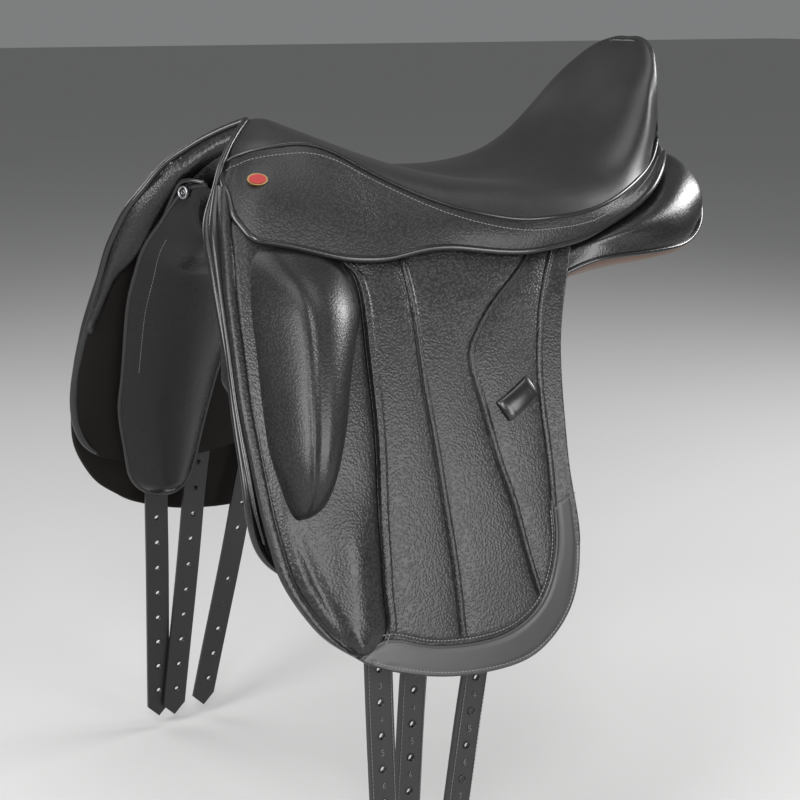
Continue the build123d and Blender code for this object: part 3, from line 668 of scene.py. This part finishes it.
flap = Piece()
FLAP_STRIPS = [
    (FRONT_EDGE, SEAM_1, None, 90.0, "front"),
    (SEAM_1, SEAM_2, [(-191, -244), (-180, -251), (-157, -261), (-123, -271), (-99, -275)], 52.0, "middle"),
    (SEAM_2, SEAM_3, [(-99, -275), (-78, -277), (-58, -277), (-33, -273), (-14, -263)], 62.0, "middle"),
    (SEAM_3, SEAM_4, [(-14, -263), (-3, -254), (6, -244), (17, -222)], 44.0, "middle"),
    (SEAM_4, REAR_EDGE, None, 22.0, "rear"),
]
for left, right, low, width, place in FLAP_STRIPS:
    if place == "front":
        us = across(width, EDGE_STEPS, SEAM_STEPS)
    elif place == "rear":
        us = across(width, SEAM_STEPS[:-3], EDGE_STEPS[:8], 2.0)
    else:
        us = across(width, SEAM_STEPS, SEAM_STEPS)
    points, widths = strip(left, right, us, low)
    d, e = us[None] * widths[:, None], (1 - us)[None] * widths[:, None]
    if place == "front":
        valley = distance(points, valley_line)
        lower = smoothstep(-points[..., 1], 120.0, 175.0)
        swell = (5.0 * np.exp(-((e - 26.0) / 17.0) ** 2) + 2.0 * np.exp(-((d - 22.0) / 9.0) ** 2)) * lower
        relief = front_roll(d) + 1.5 * seam_front(e) * smoothstep(d, 8, 20) + swell
        relief = relief - 3.2 * np.exp(-(valley / 5.0) ** 2) * lower
        relief = relief * smoothstep(d + e, 4.0, 20.0)
    elif place == "rear":
        relief = seam_ridge(d) * smoothstep(widths, 4.0, 12.0)[:, None] + 0.5 * ball(e, 2.0, 2.4)
    else:
        double = left is SEAM_1
        relief = seam_ridge(d, 6.6 if double else 4.2, 2.9 if double else 1.5) + seam_front(e) - 1.3
        relief = relief * smoothstep(d + e, 6.0, 20.0)
    out, above = flap_out(points, relief)
    if place != "front":
        out = out - relief * (1 - above)
    flap.grid(on_side(flank, points, out), glossy_calf if place == "front" else pebble)
    rim = distance(points, edge_line)[::2]
    lining = FLAP_T * (0.5 - 0.5 * ball(np.minimum(rim, 2.5), 2.5, 2.5))
    flap.grid(on_side(flank, points[::2], lining), brown_lining)


def row(piece, line, offset, height, first=0.0, last=1.0, **settings):
    """Stitches beside a line on the flap's face."""
    path = beside(dense(line, 1.0), offset)
    path = path[int(first * len(path)):int(last * len(path))]
    piece.stitches(on_side(flank, path, height), side_normal(flank, path), thread, **settings)


row(flap, SEAM_1, 1.9, FLAP_T + 1.7, 0.04, 0.93, pitch=3.2, length=2.6)
row(flap, SEAM_1, 5.0, FLAP_T + 1.7, 0.04, 0.90, pitch=3.2, length=2.6)
row(flap, SEAM_2, 1.9, FLAP_T + 0.55, 0.03, 0.90, pitch=3.4, length=2.7)
row(flap, SEAM_3, 1.9, FLAP_T + 0.55, 0.03, 0.88, pitch=3.4, length=2.7)
row(flap, SEAM_4, 1.9, FLAP_T + 0.55, 0.03, 0.72, pitch=3.4, length=2.7)
row(flap, FRONT_EDGE, 12.6, FLAP_T + 0.1, 0.04, 0.86, pitch=2.6, length=2.1, radius=0.38)
row(flap, REAR_EDGE, -4.6, FLAP_T + 0.15, 0.02, 0.66, pitch=3.2, length=2.5, radius=0.42)
FLAP_FOLD = [tuple(on_side(flank, p, FLAP_T + 0.5)) for p in ((-205, 36), (80, 20))]
flap_blend = ("flap", *below_fold(FLAP_FOLD, (1, 0, 0.7), 36.0))
pair(flap, "flap_leather", nodes=("flap_root", "flap"), blend=flap_blend)

# ---------------- patch round the flap's lower edge
patch = Piece()
steps = across(26.0, [0, 0.3, 0.7, 1.2, 1.8, 2.6, 4], [0, 0.3, 0.7, 1.2, 1.8, 2.6, 4], 3.0)
patch_points, patch_widths = strip(PATCH_IN, PATCH_OUT, steps, rows=230)
d, e = steps[None] * patch_widths[:, None], (1 - steps)[None] * patch_widths[:, None]
PATCH_H = FLAP_T + 1.5
round_in = ball(np.minimum(d, 1.3), 1.3, 1.3)
round_out = ball(np.minimum(e, 2.4), 2.4, 2.4)
height = FLAP_T - 1.2 + 2.7 * round_in - (FLAP_T * 0.5 + 1.2) * (1 - round_out)
groove = 0.5 * np.exp(-((d - 3.4) / 0.8) ** 2) + 0.5 * np.exp(-((e - 4.0) / 0.7) ** 2)
patch.grid(on_side(flank, patch_points, height - groove), patch_calf)
row(patch, PATCH_IN, -3.4, PATCH_H - 0.2, 0.01, 0.96, pitch=3.2, length=2.5, radius=0.55)
row(patch, PATCH_OUT, -4.0, PATCH_H - 0.2, 0.01, 0.97, pitch=3.2, length=2.5, radius=0.55)
path = beside(dense([(1, -161), (23.4, -150)], 1.0), -2.6)
patch.stitches(on_side(flank, path, PATCH_H - 0.1), side_normal(flank, path), thread,
               pitch=3.0, length=2.4, radius=0.42)
pair(patch, "flap_patch_leather", body="SIDE_flap", nodes=("flap_patch",))

# ---------------- knee block
KNEE = [  # z, front foot y, rear foot y, height
    (54, -209, -146, 1), (45, -211, -141, 6), (36, -213, -136, 17), (26, -216, -132, 30),
    (13, -220, -130, 37.5), (0, -223, -131, 40), (-20, -226, -140, 42), (-45, -230, -152, 43),
    (-70, -233, -162, 42), (-92, -234, -172, 38), (-110, -232, -181, 31), (-124, -230, -189, 21),
    (-133, -228, -197, 12), (-139, -225, -208, 3),
]
PROFILE = [(0, 0), (0.03, 0.22), (0.08, 0.5), (0.14, 0.77), (0.205, 0.95), (0.265, 1.0), (0.34, 0.955),
           (0.44, 0.955), (0.58, 0.87), (0.72, 0.68), (0.86, 0.36), (0.95, 0.10), (1.0, 0)]
knee_rows = []
for z, front, rear, high in KNEE:
    tall = [(front + (rear - front) * f, z) for f, _ in PROFILE]
    knee_rows.append(on_side(flank, tall, np.array([FLAP_T - 0.6 + high * h for _, h in PROFILE])))
knee_grid = net(knee_rows, 97, 141)
knee = Piece()
knee_base = knee_grid.copy()
knee_base[..., 0] = side_x(flank, knee_grid[..., 1], knee_grid[..., 2], FLAP_T - 1.5)
knee.shell(knee_grid, knee_base, block_calf)
pair(knee, "knee_block_cover", nodes=("knee_block",), blend=flap_blend)

# ---------------- sweat flap and the long front piping
SWEAT_FRONT = [(-211, 92), (-220, 78), (-229, 62), (-234, 40), (-237, 21), (-241, -7), (-246, -41), (-250, -76),
               (-252, -110), (-252, -134), (-249, -156), (-242, -171), (-228, -186), (-190, -199), (-130, -203)]
SWEAT_REAR = [(46, 40), (46, 22), (18, -10), (-2, -60), (-12, -115), (-30, -165), (-70, -195), (-130, -203)]
steps = across(190.0, [0, 0.5, 1.1, 2, 3.2, 5, 8, 13], [0, 0.5, 1.1, 2, 3.2, 5], 7.0)
sweat_points, sweat_widths = strip(SWEAT_FRONT, SWEAT_REAR, steps, rows=90)
d, e = steps[None] * sweat_widths[:, None], (1 - steps)[None] * sweat_widths[:, None]
rise = -14.5 + 9.0 * np.exp(-d / 18.0) * (1 - smoothstep(-sweat_points[..., 1], 120.0, 165.0))
half = 1.6 * ball(np.minimum(np.minimum(d, e), 1.6), 1.6, 1.6)
sweat = Piece()
sweat.grid(on_side(hang, sweat_points, rise + half), skirt_leather)
sweat.grid(on_side(hang, sweat_points, rise - half), brown_lining)
sweat_edge = beside(dense(SWEAT_FRONT, 2.0), 1.8)
sweat_edge = on_side(hang, sweat_edge, -5.0 - 9.0 * smoothstep(-sweat_edge[:, 1], 120.0, 165.0))
GAP_STEPS = np.linspace(0, 1, 160)
# a roll fills the gap between the flap's front edge and the sweat flap's
gap_top = at_fractions([(-211, 90), (-219, 73), (-226, 49), (-233, 22), (-238, -5), (-242, -32), (-245, -56),
                        (-246, -80), (-246, -130), (-244, -153)], GAP_STEPS)
flap_side = on_side(flank, gap_top, 0.5)
outer_side = on_side(hang, at_fractions(SWEAT_FRONT[:11], GAP_STEPS), -4.0)
gap_width = np.linalg.norm(outer_side - flap_side, axis=1)
fade = 1 - 0.75 * smoothstep(GAP_STEPS, 0.7, 1.0)
sweat.tube(flap_side * 0.55 + outer_side * 0.45, np.clip(0.46 * gap_width, 2.4, 7.0) * fade, rolled, sides=16)
pair(sweat, "sweat_flap_leather", body="saddle", nodes=("sweat_flap",))

FRONT_PIPING = [(0, -155, 138.5), (10, -165, 133.5), (20, -175, 127.5), (30, -185, 120.5), (40, -194.5, 112.5),
                (50, -203.5, 104), (60, -212, 92), (68, -221, 78), (80, -230, 62), (98, -235, 40),
                (112, -238, 21)]
# below the pommel the piping goes on down the sweat flap's front edge, and thins out
first, last = int(0.32 * len(sweat_edge)), int(0.84 * len(sweat_edge))
half_line = dense(FRONT_PIPING + [tuple(p) for p in sweat_edge[first:last:14]], 2.0)
piping = Piece()
whole_line = np.concatenate([(half_line * MIRROR)[::-1], half_line[1:]])
fall = -whole_line[:, 2]
thick = 2.6 + 1.0 * smoothstep(fall, -105.0, -40.0) - 2.2 * smoothstep(fall, 165.0, 195.0)
piping.tube(whole_line, thick, rolled, sides=14)
single(piping, "front_piping", ())

# ---------------- front facing roll
FACING_OUT = [(152, -248, -56), (142, -244, -32), (129, -240, -7), (113, -236, 20), (98, -234, 40),
              (80, -229, 62), (68, -220, 78), (60, -211, 92), (50, -202, 103), (40, -193, 111),
              (30, -184, 119), (20, -174, 126), (10, -164, 132), (0, -155, 137)]
FACING_IN = [(150, -243, -59), (139, -236, -38), (126, -229, -12), (113, -224, 2), (100, -217, 15),
             (85, -209, 34), (70, -200, 57), (62, -196, 68), (55, -192, 78), (47, -188.5, 85),
             (40, -185, 91), (25, -174, 105), (12, -163, 113), (0, -156, 117)]


def pillow(first, second, bulge_a, bulge_b, towards, nu=21, nv=120, edge=0.8, ends=0.03, round_by=0.7):
    """A soft closed form between two long edges, swollen by different amounts on its two faces."""
    v = np.linspace(0, 1, nv)
    a = natural(np.linspace(0, 1, len(first)), np.array(first, float), v)
    b = natural(np.linspace(0, 1, len(second)), np.array(second, float), v)
    u = 0.5 - 0.5 * np.cos(np.pi * np.linspace(0, 1, nu))
    middle = a[:, None] * (1 - u)[None, :, None] + b[:, None] * u[None, :, None]
    normal = grid_normals(middle, towards)
    swell = (np.sin(np.pi * u) ** round_by)[None, :, None]
    taper = smoothstep(v, 0.0, ends)[:, None, None] * smoothstep(1 - v, 0.0, ends)[:, None, None]
    return (middle + normal * (edge + bulge_a * swell * taper), middle - normal * (edge + bulge_b * swell * taper),
            a, b)


def mirrored_line(points):
    return list(points) + [(-x, y, z) for x, y, z in reversed(points[:-1])]


roll_front, roll_back, _, _ = pillow(mirrored_line(FACING_OUT), mirrored_line(FACING_IN), 9.0, 1.5, (0, -1, -0.3),
                                     nv=181)
facing = Piece()
facing.shell(roll_front, roll_back, glossy_calf)
single(facing, "pommel_roll", ("pommel_facing",))

ARCH_NET = [
    [(0, -156, 117), (12, -163, 113), (25, -174, 105), (40, -185, 91), (48, -189, 84)],
    [(0, -150, 109.5), (12, -158, 104), (25, -168, 95), (38, -178, 84), (46, -182, 77)],
    [(0, -135, 98), (12, -140, 93), (25, -148, 86), (38, -155, 79), (46, -158, 74)],
    [(0, -112, 77), (12, -112, 77), (25, -113, 76.5), (38, -114, 75), (46, -115, 73)],
]
arch_grid = net(both_halves(ARCH_NET), 61, 31)
arch = Piece()
arch.shell(arch_grid, arch_grid - 1.5 * grid_normals(arch_grid, (0, 0, -1)), glossy_calf)
single(arch, "arch_lining", ())

# ---------------- the panel's tongue
def tongue_at(y, z):
    return tuple(on_side(hang, (y, z), -22.0))


TONGUE_FRONT = [(20, -184, 85), (35, -192, 82), (50, -199, 70), (65, -207, 50), (85, -214, 28),
                tongue_at(-216, 5), tongue_at(-217, -22), tongue_at(-214, -57), tongue_at(-210, -110),
                tongue_at(-209, -145), tongue_at(-200, -187), tongue_at(-194, -212), tongue_at(-182, -228),
                tongue_at(-166, -236)]
TONGUE_REAR = [(27, -150, 62), (44, -150, 48), (62, -148, 34), (78, -140, 20), tongue_at(-118, 0),
               tongue_at(-100, -25), tongue_at(-96, -52), tongue_at(-102, -78), tongue_at(-108, -105),
               tongue_at(-114, -140), tongue_at(-121, -178), tongue_at(-127, -208), tongue_at(-137, -230),
               tongue_at(-152, -237)]
face_in, face_out, tongue_a, tongue_b = pillow(TONGUE_FRONT, TONGUE_REAR, 19.0, 3.0, (-1, 0, 0), nu=41, nv=200,
                                               ends=0.13, round_by=0.9)
tongue = Piece()
tongue.shell(face_in, face_out, tongue_calf)
tongue.tube(np.concatenate([tongue_a, tongue_b[::-1][:150]]), 2.2, rolled)
tongue.tube(dense([(64, -206.5, 50), (54, -202, 68), (47, -199.5, 79), (39, -198, 86), (29, -193, 88.5),
                   (19, -186, 87)], 1.5), 1.9, rolled)
SEAM_COL = 9  # the tongue's stitched seam runs down this column of its face
tongue_normals = grid_normals(face_in, (-1, 0, 0))
tongue.stitches(face_in[50:120, SEAM_COL], tongue_normals[50:120, SEAM_COL], thread, radius=0.35)
pair(tongue, "panel_tongue_leather", body="saddle", nodes=("panel_tongue",))

# ---------------- ring round the panel's stud
stud = Piece()
facing_way = unit(np.array([-0.35, -0.9, 0.1]))
across_way = unit(np.cross(facing_way, [0, 0, 1.0]))
up_way = np.cross(facing_way, across_way)
turn = np.linspace(0, 2 * np.pi, 33)
spokes = np.cos(turn)[:, None] * across_way + np.sin(turn)[:, None] * up_way
stud_at = np.array([38.5, -194.5, 77.5]) + facing_way * 3.0
stud.tube(stud_at + 4.6 * spokes, 1.3, steel, sides=10, caps=False)
stud.grid(np.stack([stud_at - facing_way * 0.6 + r * spokes for r in (4.6, 3.4, 1.8, 0.0)]), rolled)
stud.tube(stud_at - facing_way * 0.2 + 1.7 * spokes, 0.6, steel, sides=8, caps=False)
pair(stud, "panel_stud_ring", body="saddle")

# ---------------- panels
PANEL = [  # y, then inner top, outer top, outer belly, outer seam, bearing face, inner seam, channel wall
    (-154, (30, 78), (46, 72), (72, 42), (86, 14), (60, 30), (32, 58), (29, 70)),
    (-140, (29, 78), (48, 72), (79, 40), (95, 4), (64, 21), (31, 52), (28, 67)),
    (-100, (34, 70), (58, 65), (90, 32), (105, -5), (70, 10), (35, 40), (33, 55)),
    (-50, (34, 54), (72, 52), (104, 22), (117, -15), (76, -2), (36, 26), (33, 40)),
    (20, (34, 36), (104, 35), (132, 12), (139, -8), (88, -9), (38, 13), (33, 25)),
    (60, (34, 37), (110, 37), (137, 18), (142, 8), (90, -6), (38, 11), (33, 25)),
    (95, (34, 38), (124, 41), (148, 32), (149, 21), (94, 0), (38, 12), (33, 26)),
    (140, (34, 46), (131, 53), (152, 38), (151, 24), (96, 8), (38, 20), (33, 34)),
    (180, (34, 58), (118, 67), (148, 46), (148, 25), (94, 14), (38, 30), (33, 45)),
    (212, (35, 72), (100, 82), (136, 56), (138, 29), (90, 28), (40, 42), (34, 58)),
    (236, (38, 86), (82, 92), (120, 68), (124, 42), (84, 40), (44, 54), (38, 70)),
    (251, (46, 92), (68, 95), (100, 77), (104, 60), (80, 56), (52, 66), (46, 79)),
    (257, (60, 88), (70, 89), (84, 80), (85, 73), (76, 70), (64, 74), (60, 81)),
]
panel_y = np.array([r[0] for r in PANEL], float)
loops = []
for r in PANEL:
    lower = (r[4][0] * 0.80 + r[5][0] * 0.20, r[4][1] * 0.80 + r[5][1] * 0.20 - 6.5)
    loops.append([(x, r[0], z) for x, z in (*r[1:5], lower, *r[5:])])
loops = np.array(loops, float)
around = np.concatenate([loops[:, -2:], loops, loops[:, :3]], 1)
knots = np.arange(around.shape[1])
at = np.linspace(2, 10, 65)[:-1]
ring = np.stack([natural(knots, line, at) for line in around])
panel_grid = natural((panel_y - panel_y[0]), ring, np.linspace(0, panel_y[-1] - panel_y[0], 131))


def capped(grid):
    """The cushion with its two ends rounded shut."""
    first, last = grid[0].mean(0), grid[-1].mean(0)
    fore = [first + (grid[0] - first) * f + np.array([0, -4.0 * (1 - f * f), 0]) for f in (0.0, 0.4, 0.75, 0.93)]
    back = [last + (grid[-1] - last) * f + np.array([0, 3.0 * (1 - f * f), 0]) for f in (0.93, 0.75, 0.4, 0.0)]
    return np.concatenate([np.array(fore), grid, np.array(back)])


panel = Piece()
whole = capped(panel_grid)
panel.grid(np.concatenate([whole[:, 48:], whole[:, :25]], 1), panel_calf)
panel.grid(whole[:, 24:49], tan_lining)
pair(panel, "panel_cushion", body="saddle", nodes=("panel_cover", "panel_flocking"))
piping_line = dense([(r[4][0] + 1.0, r[0], r[4][1] - 0.5) for r in PANEL[5:]], 2.0)
inner_line = dense([(r[6][0], r[0], r[6][1] - 0.5) for r in PANEL[2:]], 2.0)
cords = Piece()
cords.tube(piping_line, 2.0, rolled)
cords.tube(inner_line, 1.6, rolled)
pair(cords, "panel_cord", body="saddle", nodes=("panel_piping",))

# ---------------- keeper
KEEPER_AT, KEEPER_TILT = (-16.0, -75.0), math.radians(28)
keeper = Piece()
END_STEPS, SIDE_STEPS = np.array([16.6, 17.4, 18, 18.4, 18.6]), np.array([7.6, 8.3, 8.6])
lengths = np.concatenate([-END_STEPS[::-1], np.linspace(-15.5, 15.5, 17), END_STEPS])
widths = np.concatenate([-SIDE_STEPS[::-1], np.linspace(-6.5, 6.5, 9), SIDE_STEPS])
ll, ww = np.meshgrid(lengths, widths, indexing="ij")
yz = np.stack([KEEPER_AT[0] + ll * math.cos(KEEPER_TILT) - ww * math.sin(KEEPER_TILT),
               KEEPER_AT[1] + ll * math.sin(KEEPER_TILT) + ww * math.cos(KEEPER_TILT)], -1)
bow = 4.6 * ball(ll, 0, 18.6) ** 0.6 - 2.4 * smoothstep(np.abs(ll), 17.6, 18.6)
crown = 3.0 * ball(ww, 0, 8.65) + 0.5 * np.exp(-((np.abs(ll) - 13.0) / 1.1) ** 2)
keeper.shell(on_side(flank, yz, FLAP_T + 0.4 + bow + crown), on_side(flank, yz, FLAP_T + 0.2 + bow), rolled)
pair(keeper, "keeper_loop", body="SIDE_flap", nodes=("keeper",))

# ---------------- girth straps
HOLES, FIRST_HOLE, HOLE_PITCH = 10, -212.0, 27.6
STRAPS = {  # y at the lean height, lean towards the front or rear, inner and outer face
    "front": (-159.0, 0.0, (-5.5, -2.0)),
    "middle": (-124.0, 0.10, (-11.0, -7.5)),
    "rear": (-68.0, 0.20, (-5.5, -2.0)),
}
NUMERALS = [
    [(-0.4, 0.6), (0, 1), (0, -1)],
    [(-0.6, 0.7), (-0.2, 1), (0.3, 1), (0.6, 0.6), (-0.6, -1), (0.6, -1)],
    [(-0.6, 0.8), (0, 1), (0.6, 0.6), (0.1, 0.1), (0.6, -0.4), (0, -1), (-0.6, -0.8)],
    [(0.3, -1), (0.3, 1), (-0.6, -0.3), (0.7, -0.3)],
    [(0.6, 1), (-0.5, 1), (-0.5, 0.1), (0.2, 0.2), (0.6, -0.4), (0.1, -1), (-0.6, -0.8)],
    [(0.4, 1), (-0.3, 0.5), (-0.6, -0.3), (0, -1), (0.6, -0.5), (0, 0), (-0.5, -0.3)],
    [(-0.6, 1), (0.6, 1), (-0.1, -1)],
    [(0, 0.1), (-0.5, 0.6), (0, 1), (0.5, 0.6), (0, 0.1), (-0.6, -0.5), (0, -1), (0.6, -0.5), (0, 0.1)],
    [(0.5, 0.3), (0, 0), (-0.5, 0.5), (0, 1), (0.5, 0.6), (0.4, -0.4), (-0.1, -1)],
]
for name, (low_y, lean, layer) in STRAPS.items():
    marks = Piece()
    for i, strokes in enumerate(NUMERALS):
        z = FIRST_HOLE - HOLE_PITCH * (i + 0.5)
        path = np.array([(low_y + lean * (z - LEAN_Z) + 2.0 * a, z + 2.4 * b) for a, b in strokes])
        marks.tube(on_side(hang, path, layer[1] + 0.05), 0.3, thread, sides=5)
    for face, sign in ((layer[1], 1), (layer[0], -1)):
        for i in range(HOLES):
            z = FIRST_HOLE - HOLE_PITCH * i
            y = low_y + lean * (z - LEAN_Z)
            normal = side_normal(hang, (y, z)) * sign
            centre = on_side(hang, (y, z), face)
            u = unit(np.cross(normal, [0, 0, 1.0]))
            w = np.cross(normal, u)
            turn = np.linspace(0, 2 * np.pi, 25)
            ringlet = centre + normal * 0.1 + 3.0 * (np.cos(turn)[:, None] * u + np.sin(turn)[:, None] * w)
            marks.tube(ringlet, 0.42, rolled, sides=6, caps=False)
    for edge in (-9.8, 9.8):
        z = np.linspace(-130, -470, 200)
        path = np.stack([low_y + lean * (z - LEAN_Z) + edge, z], -1)
        marks.stitches(on_side(hang, path, layer[1]), side_normal(hang, path), thread, pitch=3.4, length=2.8,
                       radius=0.3)
    pair(marks, f"{name}_strap_marks", body=f"SIDE_{name}_strap")

# ---------------- carried nodes: finishes
tree_wood = plywood("beech_plywood")
FINISH = {"tree_rail": tree_wood, "tree_head": spring_steel, "gullet_plate": spring_steel,
          "tree_cantle": tree_wood, "seat_webbing": webbing, "cross_webbing": webbing, "girth_web": webbing,
          "channel_lining": panel_calf, "badge_rim": brass, "badge_enamel": enamel, "stirrup_bar": steel,
          "bar_catch": steel, "catch_pin": steel, "bar_rivets": steel, "panel_stud": steel,
          "front_strap": strap_leather, "middle_strap": strap_leather, "rear_strap": strap_leather}
for name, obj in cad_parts.items():
    base = name.replace("_left", "").replace("_right", "")
    if base in FINISH:
        for holder in obj.material_slots:
            holder.material = FINISH[base]
        if base.endswith("strap"):
            bevel = obj.modifiers.new("soft_edge", "BEVEL")
            bevel.width, bevel.segments, bevel.limit_method = 0.0007, 2, "ANGLE"

# ---------------- studio
floor_z = cad_box[0][2] - 0.012
bpy.ops.mesh.primitive_plane_add(size=60.0, location=(0, 0, floor_z))
floor = bpy.context.object
floor.name = "studio_floor"
ground = Nodes("pale_floor")
ground.link(ground.mix_colour(ground.noise(1.5), (0.46, 0.46, 0.457), (0.49, 0.49, 0.487)),
            ground.shader.inputs["Base Color"])
ground.set(Roughness=0.7)
floor.data.materials.append(ground.material)

world = bpy.data.worlds.new("studio")
bpy.context.scene.world = world
world.use_nodes = True
world.node_tree.nodes["Background"].inputs["Color"].default_value = (0.86, 0.87, 0.88, 1)
world.node_tree.nodes["Background"].inputs["Strength"].default_value = 0.24
bpy.context.scene.view_settings.view_transform = "Standard"

AZIMUTH, ELEVATION = math.radians(58.445), math.radians(14.067)
CAMERA_AT = Vector((1.1787, -0.7293, 0.2267))
forward = Vector((-math.sin(AZIMUTH) * math.cos(ELEVATION), math.cos(AZIMUTH) * math.cos(ELEVATION),
                  -math.sin(ELEVATION)))
camera = bpy.data.objects.new("camera", bpy.data.cameras.new("camera"))
camera.data.lens, camera.data.sensor_width = 70.0, 36.0
camera.data.clip_start = 0.05
camera.location = CAMERA_AT
camera.rotation_euler = forward.to_track_quat("-Z", "Y").to_euler()
bpy.context.collection.objects.link(camera)
bpy.context.scene.camera = camera


def lamp(name, at, aim, size, power):
    data = bpy.data.lights.new(name, "AREA")
    data.shape, data.size, data.size_y, data.energy = "RECTANGLE", size[0], size[1], power
    light = bpy.data.objects.new(name, data)
    light.location = at
    light.rotation_euler = (Vector(aim) - Vector(at)).to_track_quat("-Z", "Y").to_euler()
    bpy.context.collection.objects.link(light)


lamp("front", (0.45, -2.1, 0.55), (0.05, -0.1, -0.05), (0.9, 1.3), 34.0)
lamp("camera_side", (1.5, -0.95, 0.85), (0.2, -0.1, -0.05), (0.45, 1.0), 20.0)
lamp("flap_side", (2.2, 0.42, 0.35), (0.1, 0, -0.1), (1.1, 1.5), 36.0)
lamp("rear", (0.15, 2.1, 1.05), (0.1, 0.1, 0.05), (0.9, 0.8), 44.0)
lamp("top", (0, -0.1, 2.4), (0, 0, 0), (1.8, 1.8), 24.0)
lamp("front_top", (0.55, -1.5, 1.5), (0, -0.15, 0.05), (0.7, 0.7), 13.0)
lamp("far_side", (-1.8, -0.9, 0.9), (0, 0, 0), (1.0, 1.0), 12.0)
